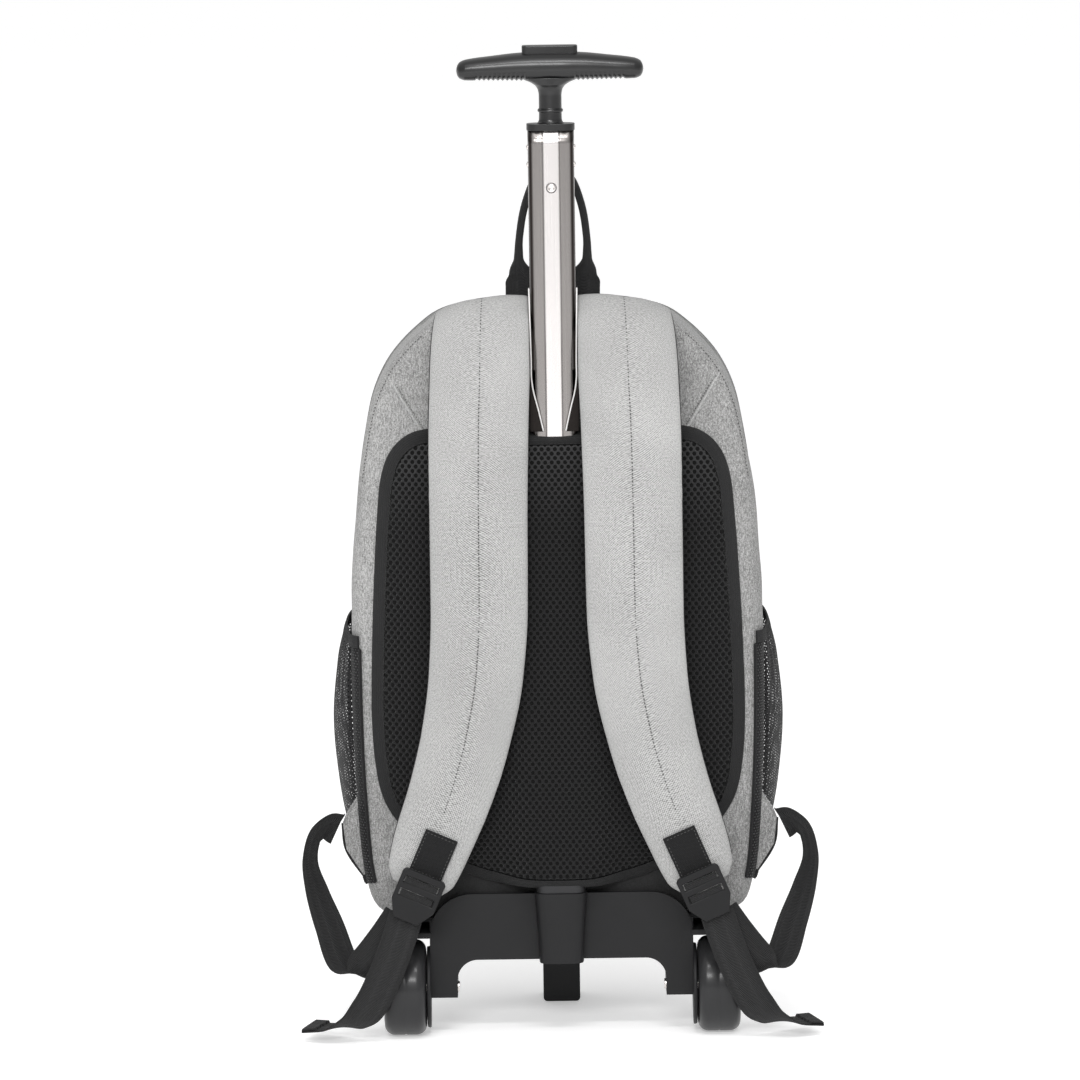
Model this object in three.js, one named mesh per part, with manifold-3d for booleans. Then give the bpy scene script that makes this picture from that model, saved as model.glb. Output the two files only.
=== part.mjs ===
// A wheeled backpack: a heather-grey bag with a padded back, two shoulder straps and mesh side pockets,
// on a plastic chassis with two wheels and a front foot, with a steel telescopic handle.
// Millimetres, +Z up. The strap side faces -Y, and X runs across the back.
import * as THREE from "three";
import { mergeVertices } from "three/addons/utils/BufferGeometryUtils.js";
import Module from "manifold-3d";

const wasm = await Module();
wasm.setup();

// Bag
const bagWidth = 300;
const bagHeight = 450;
const bagDepth = 180;
const bagBottom = 88;
const backPlane = -85;
const clothWall = 2.6;
const seamInset = 26;
const frontCrown = 9;
const zipWidth = 11;
const zipWall = 1.8;
const sliderLength = 9;
const sliderWidth = 8;
const sliderHeight = 3;
const pullerLength = 23;
const pullerWidth = 6;
const seat = 0.3;

// Back pad
const padWidth = 272;
const padTop = 447.5;
const padHeight = 338;
const padEdge = 9;
const padThick = 20;
const padHump = 25.4;
const bindingWidth = 9;

// Shoulder straps
const strapWidth = 72;
const strapThick = 12;
const strapSpread = 55;
const strapStand = 34;

// Webbing
const webbingWidth = 25;
const webbingThick = 1.6;
const hemLength = 12;
const patchLength = 33;
const loopTop = 155;

// Ladder-lock buckles
const buckleWidth = 33;
const buckleLength = 37;
const buckleThick = 4;
const buckleSlot = 5.5;
const buckleBar = 4.5;
const buckleLean = 23.5;
const buckleSpread = 105.5;
const buckleHigh = 110.5;
const buckleStand = 4.4;

// Telescopic handle
const tubeWidth = 33.5;
const tubeDepth = 18;
const tubeWall = 1.2;
const tubeTop = 664.8;
const tubeLength = 365;
const tubeCentre = -98;
const tubeRunning = 0.4;
const sleeveWall = 1;
const sleeveTop = 440;
const collarWidth = 34.8;
const collarHeight = 4.8;
const collarPlug = 12;
const pinRadius = 3.2;
const pinStand = 1.2;
const pinHeight = 624;
const rivetRadius = 2.2;
const rivetStand = 0.8;
const rivetDrops = [12, 24.5];

// Grip
const gripLength = 134.6;
const gripHeight = 21;
const gripDepth = 27;
const gripBottom = 700.5;
const neckRadius = 8.2;
const teethStart = 17.5;
const gripTeeth = 11;
const toothPitch = 3.3;
const toothDepth = 1.1;
const buttonLength = 40;
const buttonDepth = 13;
const buttonRise = 4.6;
const buttonTravel = 3;
const buttonPlay = 0.4;

// Grab handle
const grabY = -64;
const grabTop = 632;
const grabSpread = 33.6;
const grabGrip = 13;

// Chassis
const plateWidth = 193;
const plateTop = 105.5;
const plateLow = 56.5;
const plateWall = 4;
const plateY = -92;
const plateShoulder = 31;
const archRadius = 15;
const legWidth = 20;
const legLow = 28.5;
const legDepth = 44;
const fenderWall = 4;
const fenderLip = 6;
const bossTopWidth = 38;
const bossLowWidth = 32.5;
const bossDepth = 25;
const bossLip = 2.5;
const spigotHeight = 24;
const trayWall = 3;
const trayWidth = 236;
const trayDepth = 152;
const trayRound = 28;
const footWidth = 27.6;
const footDepth = 35;
const footY = 25;
const footRound = 3;

// Wheels
const wheelRadius = 35;
const wheelWidth = 31;
const wheelClear = 3;
const wheelSpread = plateWidth + wheelWidth + 2 * wheelClear;
const wheelY = -82;
const wheelShoulder = 7;
const hubRadius = 21;
const hubWidth = 26;
const axleRadius = 4;
const axlePlay = 0.3;
const wheelGap = 4;

// Side pockets
const pocketLow = 24;
const pocketHeight = 185;
const pocketStand = 15;
const pocketRear = -66;
const pocketFront = 48;
const pocketWall = 1.2;
const bandHeight = 9;
const bandWall = 2;

// Side tabs
const tabTop = 180;
const tabHeight = 66;
const tabReach = 13;
const tabWall = 3;
const tabY = -73;

const bagTop = bagBottom + bagHeight;
const pocketTop = bagBottom + pocketLow + pocketHeight;
const strapFront = backPlane - strapStand - strapThick / 2;
const halfTurn = Math.PI;

// Materials, with the colours of the real one
const finish = (color, roughness, metalness = 0) =>
  new THREE.MeshStandardMaterial({ color, roughness, metalness });
const heather = finish(0xa9a9a7, 0.9);
const strapCloth = finish(0xb4b4b2, 0.9);
const spacerMesh = finish(0x1b1b1c, 0.95);
const binding = finish(0x242425, 0.9);
const pocketMesh = finish(0x1e1e1f, 0.9);
const webbing = finish(0x1f1f20, 0.85);
const lining = finish(0x17130f, 0.9);
const zipTape = finish(0x1c1c1d, 0.85);
const buckle = finish(0x29292a, 0.5);
const moulding = finish(0x2c2c2e, 0.6);
const gripPlastic = finish(0x242426, 0.45);
const steel = finish(0xb3aca6, 0.3, 1);
const sleeveMetal = finish(0x303032, 0.5, 1);
const tyre = finish(0x1d1d1f, 0.35);
const hub = finish(0x222224, 0.4);

const part = new THREE.Group();

function add(name, geometry, material) {
  const mesh = new THREE.Mesh(geometry, material);
  mesh.name = name;
  part.add(mesh);
}

// Solids

function solidOf(geometry) {
  const bare = geometry.clone();
  bare.deleteAttribute("normal");
  bare.deleteAttribute("uv");
  const merged = mergeVertices(bare, 1e-4);
  return new wasm.Manifold(
    new wasm.Mesh({
      numProp: 3,
      vertProperties: new Float32Array(merged.attributes.position.array),
      triVerts: new Uint32Array(merged.index.array),
    }),
  );
}

function geometryOf(solid) {
  const mesh = solid.getMesh();
  const geometry = new THREE.BufferGeometry();
  geometry.setAttribute("position", new THREE.BufferAttribute(mesh.vertProperties, 3));
  geometry.setIndex(new THREE.BufferAttribute(mesh.triVerts, 1));
  return geometry;
}

function joined(first, ...others) {
  return geometryOf(others.reduce((sum, next) => sum.add(solidOf(next)), solidOf(first)));
}

function cut(first, ...others) {
  return geometryOf(others.reduce((rest, next) => rest.subtract(solidOf(next)), solidOf(first)));
}

// The same solid on the other side of X = 0, with its faces turned to point out again.
function mirrored(geometry) {
  const other = geometry.index ? geometry.toNonIndexed() : geometry.clone();
  other.scale(-1, 1, 1);
  const place = other.attributes.position;
  const a = new THREE.Vector3();
  const b = new THREE.Vector3();
  for (let i = 0; i < place.count; i += 3) {
    a.fromBufferAttribute(place, i + 1);
    b.fromBufferAttribute(place, i + 2);
    place.setXYZ(i + 1, b.x, b.y, b.z);
    place.setXYZ(i + 2, a.x, a.y, a.z);
  }
  return other;
}

function addPair(name, geometry, material) {
  add(`${name}_right`, geometry, material);
  add(`${name}_left`, mirrored(geometry), material);
}

function block(x0, x1, y0, y1, z0, z1) {
  const box = new THREE.BoxGeometry(x1 - x0, y1 - y0, z1 - z0);
  return box.translate((x0 + x1) / 2, (y0 + y1) / 2, (z0 + z1) / 2);
}

// A shape drawn in X and Z, given its depth from Y = near to Y = far.
function plateOf(shape, near, far, curveSegments = 6) {
  const solid = new THREE.ExtrudeGeometry(shape, {
    depth: far - near,
    bevelEnabled: false,
    curveSegments,
  });
  solid.rotateX(halfTurn / 2);
  return solid.translate(0, far, 0);
}

// A shape drawn in X and Y, standing from Z = low to Z = high.
function prismOf(shape, low, high, curveSegments = 6) {
  const solid = new THREE.ExtrudeGeometry(shape, {
    depth: high - low,
    bevelEnabled: false,
    curveSegments,
  });
  return solid.translate(0, 0, low);
}

function geometryFrom(points, faces) {
  const geometry = new THREE.BufferGeometry();
  geometry.setAttribute(
    "position",
    new THREE.Float32BufferAttribute(points.flatMap((p) => [p.x, p.y, p.z]), 3),
  );
  geometry.setIndex(faces);
  return geometry;
}

// A closed solid through rings of points. The rings run anticlockwise seen from the way they advance.
function loft(rings, closed = false) {
  const count = rings[0].length;
  const points = rings.flat();
  const faces = [];
  const last = closed ? rings.length : rings.length - 1;
  for (let i = 0; i < last; i++) {
    const here = i * count;
    const next = ((i + 1) % rings.length) * count;
    for (let j = 0; j < count; j++) {
      const k = (j + 1) % count;
      faces.push(here + j, here + k, next + k, here + j, next + k, next + j);
    }
  }
  if (!closed) {
    [0, rings.length - 1].forEach((row, end) => {
      const middle = new THREE.Vector3();
      rings[row].forEach((p) => middle.addScaledVector(p, 1 / count));
      const tip = points.push(middle) - 1;
      for (let j = 0; j < count; j++) {
        const a = row * count + j;
        const b = row * count + ((j + 1) % count);
        faces.push(...(end ? [a, b, tip] : [b, a, tip]));
      }
    });
  }
  return geometryFrom(points, faces);
}

// A cloth wall: place(u, v) is its outer face, and the wall goes inwards, away from du x dv.
function cloth(place, acrossSteps, alongSteps, wall) {
  const outer = [];
  const inner = [];
  const step = 1e-3;
  for (let i = 0; i <= acrossSteps; i++) {
    for (let j = 0; j <= alongSteps; j++) {
      const u = i / acrossSteps;
      const v = j / alongSteps;
      const here = place(u, v);
      const du = place(Math.min(1, u + step), v).sub(place(Math.max(0, u - step), v));
      const dv = place(u, Math.min(1, v + step)).sub(place(u, Math.max(0, v - step)));
      const out = du.cross(dv).normalize();
      outer.push(here);
      inner.push(here.clone().addScaledVector(out, -wall));
    }
  }
  const wide = alongSteps + 1;
  const half = outer.length;
  const faces = [];
  const quad = (a, b, c, d) => faces.push(a, b, c, a, c, d);
  for (let i = 0; i < acrossSteps; i++) {
    const n = i + 1;
    for (let j = 0; j < alongSteps; j++) {
      quad(i * wide + j, n * wide + j, n * wide + j + 1, i * wide + j + 1);
      quad(half + i * wide + j, half + i * wide + j + 1, half + n * wide + j + 1, half + n * wide + j);
    }
    quad(i * wide, half + i * wide, half + n * wide, n * wide);
    const j = alongSteps;
    quad(i * wide + j, n * wide + j, half + n * wide + j, half + i * wide + j);
  }
  for (let j = 0; j < alongSteps; j++) {
    quad(j, j + 1, half + j + 1, half + j);
    const i = acrossSteps * wide;
    quad(i + j, half + i + j, half + i + j + 1, i + j + 1);
  }
  return geometryFrom([...outer, ...inner], faces);
}

// Reads a column of a table at a place between its rows, on a smooth curve that doesn't overshoot.
function along(rows, by, column, at) {
  const last = rows.length - 1;
  if (at <= rows[0][by]) return rows[0][column];
  if (at >= rows[last][by]) return rows[last][column];
  const slope = (i) => (rows[i + 1][column] - rows[i][column]) / (rows[i + 1][by] - rows[i][by]);
  const bend = (i) => {
    if (i === 0) return slope(0);
    if (i === last) return slope(last - 1);
    const before = slope(i - 1);
    const after = slope(i);
    return before * after <= 0 ? 0 : (2 * before * after) / (before + after);
  };
  const i = rows.findIndex((row, n) => n < last && at <= rows[n + 1][by]);
  const span = rows[i + 1][by] - rows[i][by];
  const t = (at - rows[i][by]) / span;
  const s = 1 - t;
  return (
    rows[i][column] * s * s * (1 + 2 * t) +
    rows[i + 1][column] * t * t * (1 + 2 * s) +
    bend(i) * span * t * s * s -
    bend(i + 1) * span * t * t * s
  );
}

// A closed outline in X and Z from half a table, as a curve by length that starts at the bottom.
function outlineOf(rows, half, low, height) {
  const side = (sign) =>
    rows.map((row) => new THREE.Vector3(sign * row.wide * half, 0, low + row.high * height));
  const right = side(1);
  const left = side(-1).slice(1, -1).reverse();
  return new THREE.CatmullRomCurve3([...right, ...left], true, "centripetal");
}

// A point of an outline, moved in towards the middle.
function insetPoint(outline, share, inset) {
  const around = ((share % 1) + 1) % 1;
  const point = outline.getPointAt(around);
  const run = outline.getTangentAt(around);
  return new THREE.Vector3(point.x - run.z * inset, 0, point.z + run.x * inset);
}

// The share of an outline's length at which its right side reaches a height.
function shareAt(outline, height) {
  let low = 0;
  let high = 0.5;
  for (let i = 0; i < 30; i++) {
    const middle = (low + high) / 2;
    if (outline.getPointAt(middle).z < height) low = middle;
    else high = middle;
  }
  return low;
}

// Bag shell

const bagOutlineRows = [
  { wide: 0, high: 0 },
  { wide: 0.4, high: 0 },
  { wide: 0.7, high: 0 },
  { wide: 0.82, high: 0.001 },
  { wide: 0.89, high: 0.013 },
  { wide: 0.94, high: 0.05 },
  { wide: 0.985, high: 0.2 },
  { wide: 1, high: 0.38 },
  { wide: 0.993, high: 0.55 },
  { wide: 0.966, high: 0.68 },
  { wide: 0.928, high: 0.768 },
  { wide: 0.882, high: 0.839 },
  { wide: 0.82, high: 0.8865 },
  { wide: 0.754, high: 0.9185 },
  { wide: 0.654, high: 0.953 },
  { wide: 0.558, high: 0.977 },
  { wide: 0.4, high: 0.993 },
  { wide: 0.2, high: 1 },
  { wide: 0, high: 1 },
];
const bagDepthRows = [
  { high: 0, deep: 0.84 },
  { high: 0.1, deep: 0.95 },
  { high: 0.3, deep: 1 },
  { high: 0.55, deep: 0.97 },
  { high: 0.75, deep: 0.86 },
  { high: 0.88, deep: 0.68 },
  { high: 1, deep: 0.44 },
];
const gussetRows = [
  { deep: 0, inset: 0.27 },
  { deep: 0.03, inset: 0.09 },
  { deep: 0.08, inset: 0 },
  { deep: 0.5, inset: 0 },
  { deep: 0.68, inset: 0.06 },
  { deep: 0.82, inset: 0.22 },
  { deep: 0.92, inset: 0.5 },
  { deep: 1, inset: 1 },
];
const zipShare = 0.7;
const cornerHigh = 0.05;
const bagSteps = 40;

const bagOutline = outlineOf(bagOutlineRows, bagWidth / 2, bagBottom, bagHeight);
const bagLength = bagOutline.getLength();

// A point of the bag's outer face: around its outline, and from the back seam at 0 to the front seam at 1.
function bagPoint(share, deep) {
  const point = insetPoint(bagOutline, share, along(gussetRows, "deep", "inset", deep) * seamInset);
  const high = (bagOutline.getPointAt(((share % 1) + 1) % 1).z - bagBottom) / bagHeight;
  point.y = backPlane + deep * bagDepth * along(bagDepthRows, "high", "deep", high);
  return point;
}

function addBagShell() {
  const corner = shareAt(bagOutline, bagBottom + cornerHigh * bagHeight);
  const seam = seat / 2 / bagLength;
  const zipHalf = zipWidth / 2 / bagDepth;
  const gap = seat / bagDepth;
  const band = (name, from, to, steps, wall, material, ease = (v) => v) => {
    const place = (u, v) =>
      bagPoint(1 - corner - seam - u * (1 - 2 * (corner + seam)), from + ease(v) * (to - from));
    add(name, cloth(place, bagSteps, steps, wall), material);
  };
  band("rear_gusset", gap, zipShare - zipHalf - gap, 4, clothWall, heather, (v) => v ** 1.7);
  band("zip_tape", zipShare - zipHalf, zipShare + zipHalf, 1, zipWall, zipTape);
  band("front_gusset", zipShare + zipHalf + gap, 1 - gap, 4, clothWall, heather, (v) => 1 - (1 - v) ** 1.4);

  const underside = (u, v) =>
    bagPoint((1 - u * 2) * (corner - seam), gap + v * (1 - 2 * gap));
  add("bottom_panel", cloth(underside, 12, 8, clothWall), heather);
}

// A panel inside a closed loop: rings that shrink to its middle, and a wall behind its outer face.
function panelOf(ring, rings, count, wall) {
  const points = [];
  const faces = [];
  const middles = [];
  [0, wall].forEach((sink) => {
    for (let r = 0; r < rings; r++) {
      for (let j = 0; j < count; j++) {
        points.push(ring(1 - r / rings, j / count, sink));
      }
    }
    middles.push(points.push(ring(0, 0, sink)) - 1);
  });
  const layer = rings * count + 1;
  for (const side of [0, 1]) {
    const turn = (a, b, c) => faces.push(...(side ? [a, c, b] : [a, b, c]));
    for (let j = 0; j < count; j++) {
      const k = (j + 1) % count;
      for (let r = 0; r < rings - 1; r++) {
        const a = side * layer + r * count;
        turn(a + j, a + k, a + count + k);
        turn(a + j, a + count + k, a + count + j);
      }
      const inmost = side * layer + (rings - 1) * count;
      turn(inmost + j, inmost + k, middles[side]);
    }
  }
  for (let j = 0; j < count; j++) {
    const k = (j + 1) % count;
    faces.push(j, layer + j, layer + k, j, layer + k, k);
  }
  return geometryFrom(points, faces);
}

function addBagPanels() {
  const middleHigh = bagBottom + bagHeight * 0.48;
  const back = (size, share, sink) => {
    const rim = insetPoint(bagOutline, share, gussetRows[0].inset * seamInset + clothWall + 2 * seat);
    const high = middleHigh + (rim.z - middleHigh) * size;
    return new THREE.Vector3(rim.x * size, backPlane - seat + sink, high);
  };
  add("back_panel", panelOf(back, 3, bagSteps, clothWall), heather);
  const front = (size, share, sink) => {
    const rim = insetPoint(bagOutline, -share, seamInset + clothWall + 2 * seat);
    const seamZ = middleHigh + (insetPoint(bagOutline, -share, 0).z - middleHigh) * size;
    const flat = bagDepth * along(bagDepthRows, "high", "deep", (seamZ - bagBottom) / bagHeight);
    const crown = frontCrown * (1 - size * size);
    const high = middleHigh + (rim.z - middleHigh) * size;
    return new THREE.Vector3(rim.x * size, backPlane + flat + seat + crown - sink, high);
  };
  add("front_panel", panelOf(front, 3, bagSteps, clothWall), heather);
}

addBagShell();
addBagPanels();

// Back pad

const padOutlineRows = [
  { wide: 0, high: 0 },
  { wide: 0.33, high: 0.01 },
  { wide: 0.55, high: 0.04 },
  { wide: 0.76, high: 0.1 },
  { wide: 0.9, high: 0.163 },
  { wide: 0.955, high: 0.21 },
  { wide: 0.985, high: 0.275 },
  { wide: 1, high: 0.37 },
  { wide: 0.995, high: 0.5 },
  { wide: 0.98, high: 0.65 },
  { wide: 0.955, high: 0.81 },
  { wide: 0.93, high: 0.9 },
  { wide: 0.885, high: 0.95 },
  { wide: 0.81, high: 0.983 },
  { wide: 0.71, high: 1 },
  { wide: 0.35, high: 1 },
  { wide: 0, high: 1 },
];
const padRows = [
  { size: 0, thick: 1 },
  { size: 0.55, thick: 0.97 },
  { size: 0.8, thick: 0.9 },
  { size: 0.93, thick: 0.7 },
  { size: 1, thick: 0.45 },
];
const padSteps = 40;
const padLow = padTop - padHeight;
const padOutline = outlineOf(padOutlineRows, padWidth / 2, padLow, padHeight);
const padBack = backPlane - 2 * seat;
const sleeveWidth = tubeWidth + 2 * (tubeRunning + sleeveWall);
const sleeveDepth = tubeDepth + 2 * (tubeRunning + sleeveWall);
const channelHalf = sleeveWidth / 2 + seat;
const humpReach = 30;

// How much of the hump over the handle's sleeve there is at a place across the back.
function humpAt(x) {
  const out = Math.min(1, Math.max(0, (Math.abs(x) - channelHalf - 2) / humpReach));
  return (1 + Math.cos(out * halfTurn)) / 2;
}

function padFront(x, size) {
  const plain = padThick * along(padRows, "size", "thick", size);
  return padBack - plain - humpAt(x) * (padHump - plain);
}

function channel() {
  const far = padBack + 1;
  const near = tubeCentre - sleeveDepth / 2 - seat;
  return block(-channelHalf, channelHalf, near, far, padLow - bindingWidth, padTop + bindingWidth);
}

function addPad() {
  const middle = padLow + padHeight / 2;
  const inside = (share) => insetPoint(padOutline, share, bindingWidth + seat);
  const ring = (size, share, sink) => {
    const rim = inside(share);
    const x = rim.x * size;
    const z = middle + (rim.z - middle) * size;
    return new THREE.Vector3(x, sink ? padBack : padFront(x, size), z);
  };
  add("back_pad", cut(panelOf(ring, 5, padSteps, 1), channel()), spacerMesh);

  const rings = [];
  for (let i = 0; i < padSteps; i++) {
    const share = i / padSteps;
    const outer = insetPoint(padOutline, -share, 0);
    const mid = insetPoint(padOutline, -share, bindingWidth / 2);
    const inner = insetPoint(padOutline, -share, bindingWidth);
    const edge = padEdge / 2;
    const raise = (p, thick) => {
      const y = padBack - thick - humpAt(p.x) * (padHump - thick);
      return new THREE.Vector3(p.x, y, p.z);
    };
    rings.push([
      new THREE.Vector3(outer.x, padBack, outer.z),
      raise(outer, edge),
      raise(mid, padEdge * 0.85),
      raise(inner, padEdge),
      new THREE.Vector3(inner.x, padBack, inner.z),
    ]);
  }
  add("pad_binding", cut(loft(rings, true), channel()), binding);
}

addPad();

// Shoulder straps

// A frame on a path in front of the back: across it, and out of its face.
function faceFrame(run) {
  const face = new THREE.Vector3().crossVectors(run, new THREE.Vector3(1, 0, 0)).normalize();
  const across = new THREE.Vector3().crossVectors(face, run).normalize();
  return { face, across };
}

const strapRows = [
  { t: 0, mid: 0.935, out: -0.32, high: 1.008, wide: 0.93, thick: 0.42, arch: 1 },
  { t: 0.05, mid: 0.935, out: 0.03, high: 1.0087, wide: 0.93, thick: 0.5, arch: 1 },
  { t: 0.1, mid: 0.945, out: 0.38, high: 0.9911, wide: 0.95, thick: 0.66, arch: 0.7 },
  { t: 0.16, mid: 0.96, out: 0.69, high: 0.9511, wide: 0.98, thick: 0.82, arch: 0.3 },
  { t: 0.24, mid: 0.975, out: 0.88, high: 0.8867, wide: 1, thick: 0.95, arch: 0 },
  { t: 0.34, mid: 1, out: 0.97, high: 0.8044, wide: 1, thick: 1, arch: 0 },
  { t: 0.46, mid: 1.015, out: 1, high: 0.6822, wide: 0.985, thick: 1, arch: 0 },
  { t: 0.6, mid: 1.025, out: 1, high: 0.5156, wide: 0.975, thick: 1, arch: 0 },
  { t: 0.7, mid: 1.08, out: 1, high: 0.4089, wide: 0.95, thick: 1, arch: 0 },
  { t: 0.79, mid: 1.22, out: 1, high: 0.3111, wide: 0.9, thick: 1, arch: 0 },
  { t: 0.87, mid: 1.43, out: 1, high: 0.22, wide: 0.85, thick: 1, arch: 0 },
  { t: 0.94, mid: 1.69, out: 1, high: 0.1356, wide: 0.79, thick: 1, arch: 0 },
  { t: 0.98, mid: 1.84, out: 1, high: 0.0844, wide: 0.7, thick: 0.95, arch: 0 },
  { t: 1, mid: 1.92, out: 1, high: 0.0578, wide: 0.46, thick: 0.75, arch: 0 },
];
const strapSteps = 26;
const strapSection = [
  { across: -1, out: 0 },
  { across: -0.93, out: -1 },
  { across: 0, out: -1 },
  { across: 0.93, out: -1 },
  { across: 1, out: 0 },
  { across: 0.9, out: 0.88 },
  { across: 0.45, out: 1 },
  { across: 0, out: 0.9 },
  { across: -0.45, out: 1 },
  { across: -0.9, out: 0.88 },
];

// The middle line of a shoulder strap, from the top of the bag to its lower tip.
function strapPath(t) {
  const read = (column) => along(strapRows, "t", column, t);
  const y = backPlane - read("out") * strapStand;
  return new THREE.Vector3(read("mid") * strapSpread, y, bagBottom + read("high") * bagHeight);
}

function strapFrame(t) {
  const step = 0.004;
  const run = strapPath(Math.min(1, t + step)).sub(strapPath(Math.max(0, t - step))).normalize();
  return { run, ...faceFrame(run) };
}

// How far the top edge of the bag drops at a place across the back.
function topDrop(x) {
  const rows = bagOutlineRows.filter((row) => row.high > 0.9).map((row) => ({
    wide: (row.wide * bagWidth) / 2,
    drop: (1 - row.high) * bagHeight,
  }));
  return along(rows.reverse(), "wide", "drop", Math.abs(x));
}

function addShoulderStraps() {
  const rings = [];
  for (let i = 0; i <= strapSteps; i++) {
    const t = i / strapSteps;
    const middle = strapPath(t);
    const { face, across } = strapFrame(t);
    const halfWide = (along(strapRows, "t", "wide", t) * strapWidth) / 2;
    const halfThick = (along(strapRows, "t", "thick", t) * strapThick) / 2;
    const arch = along(strapRows, "t", "arch", t);
    rings.push(
      strapSection.map((corner) => {
        const point = middle.clone();
        point.addScaledVector(across, corner.across * halfWide);
        point.addScaledVector(face, corner.out * halfThick);
        point.z -= arch * topDrop(point.x);
        return point;
      }),
    );
  }
  addPair("shoulder_strap", loft(rings), strapCloth);
}

addShoulderStraps();

// Webbing

// The places of a band's rows: out to the side, out from the back and up, as shares of named sizes.
function placesOf(rows, top) {
  return rows.map((row) => {
    const x = (row.side * bagWidth) / 2;
    return new THREE.Vector3(x, backPlane - row.out * strapStand, row.high * top);
  });
}

// A flat band along a path. Each row gives the way across the band at its place.
function bandAlong(rows, places, width, thick, steps) {
  const path = new THREE.CatmullRomCurve3(places, false, "centripetal");
  const last = rows.length - 1;
  const place = (u, v) => {
    const low = Math.min(last - 1, Math.floor(v * last));
    const share = v * last - low;
    const across = new THREE.Vector3();
    for (const [row, part] of [[rows[low], 1 - share], [rows[low + 1], share]]) {
      across.addScaledVector(new THREE.Vector3(row.ax, row.ay, row.az), part);
    }
    const run = path.getTangent(v);
    across.addScaledVector(run, -across.dot(run)).normalize();
    const face = new THREE.Vector3().crossVectors(run, across);
    const point = path.getPoint(v).addScaledVector(across, (u - 0.5) * width);
    return point.addScaledVector(face, -thick / 2);
  };
  return cloth(place, 1, steps, thick);
}

const buckleMiddle = new THREE.Vector3(buckleSpread, strapFront - buckleStand, buckleHigh);

function addStrapPatches() {
  const lean = THREE.MathUtils.degToRad(buckleLean);
  const near = strapFront - seat;
  const rings = [];
  for (const below of [patchLength * 1.5, patchLength * 0.5]) {
    const x = buckleMiddle.x - below * Math.sin(lean);
    const z = buckleMiddle.z + below * Math.cos(lean);
    const corner = (a, y) =>
      new THREE.Vector3(
        x + (a * webbingWidth * Math.cos(lean)) / 2,
        y,
        z + (a * webbingWidth * Math.sin(lean)) / 2,
      );
    rings.push([
      corner(-1, near),
      corner(-1, near - webbingThick),
      corner(1, near - webbingThick),
      corner(1, near),
    ]);
  }
  addPair("strap_patch", loft(rings.reverse()), webbing);
}

const loopRows = [
  { side: 1.087, out: -0.38, high: 0.981, ax: 0, ay: -0.2, az: 0.98 },
  { side: 1.127, out: -0.26, high: 1, ax: 0.1, ay: -0.7, az: 0.7 },
  { side: 1.193, out: -0.03, high: 0.961, ax: 0.3, ay: -0.85, az: 0.35 },
  { side: 1.22, out: 0.12, high: 0.845, ax: 0.4, ay: -0.9, az: 0.1 },
  { side: 1.187, out: 0.26, high: 0.703, ax: 0.65, ay: -0.75, az: 0.1 },
  { side: 1.127, out: 0.47, high: 0.542, ax: 0.85, ay: -0.5, az: 0.1 },
  { side: 1.067, out: 0.74, high: 0.39, ax: 0.9, ay: -0.4, az: 0 },
  { side: 1.007, out: 0.94, high: 0.342, ax: 0.75, ay: -0.6, az: 0.3 },
  { side: 0.947, out: 1.01, high: 0.4, ax: 0.77, ay: 0, az: 0.64 },
  { side: 0.853, out: 1.04, high: 0.516, ax: 0.8, ay: 0, az: 0.6 },
  { side: 0.78, out: 1.07, high: 0.619, ax: 0.85, ay: 0, az: 0.5 },
];
const tailRows = [
  { side: 0.75, out: 1.21, high: 0.887, ax: 0.93, ay: 0, az: 0.37 },
  { side: 0.793, out: 1.21, high: 0.706, ax: 0.94, ay: 0, az: 0.34 },
  { side: 0.86, out: 1.21, high: 0.471, ax: 0.93, ay: 0, az: 0.37 },
  { side: 0.94, out: 1.18, high: 0.262, ax: 0.88, ay: -0.1, az: 0.45 },
  { side: 1.02, out: 0.98, high: 0.145, ax: 0.62, ay: -0.62, az: 0.42 },
  { side: 1.127, out: 0.66, high: 0.1, ax: 0.32, ay: -0.94, az: 0 },
  { side: 1.24, out: 0.42, high: 0.084, ax: 0.3, ay: -0.95, az: -0.1 },
];

addStrapPatches();
const tailPlaces = placesOf(tailRows, buckleHigh);
const loopPlaces = placesOf(loopRows, loopTop);
addPair("webbing_loop", bandAlong(loopRows, loopPlaces, webbingWidth, webbingThick, 24), webbing);
addPair("webbing_tail", bandAlong(tailRows, tailPlaces, webbingWidth, webbingThick, 20), webbing);

// The tail's end is folded back and sewn, so a short hem lies on it.
function addTailHems() {
  const [before, end] = tailPlaces.slice(-2);
  const run = end.clone().sub(before).normalize();
  const lift = new THREE.Vector3(0, 0, webbingThick + 2.5 * seat);
  const places = [1, 0.5, 0].map((back) => end.clone().addScaledVector(run, -back * hemLength).add(lift));
  const rows = places.map(() => tailRows[tailRows.length - 1]);
  addPair("tail_hem", bandAlong(rows, places, webbingWidth, webbingThick, 2), webbing);
}

addTailHems();

// Ladder-lock buckles

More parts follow.
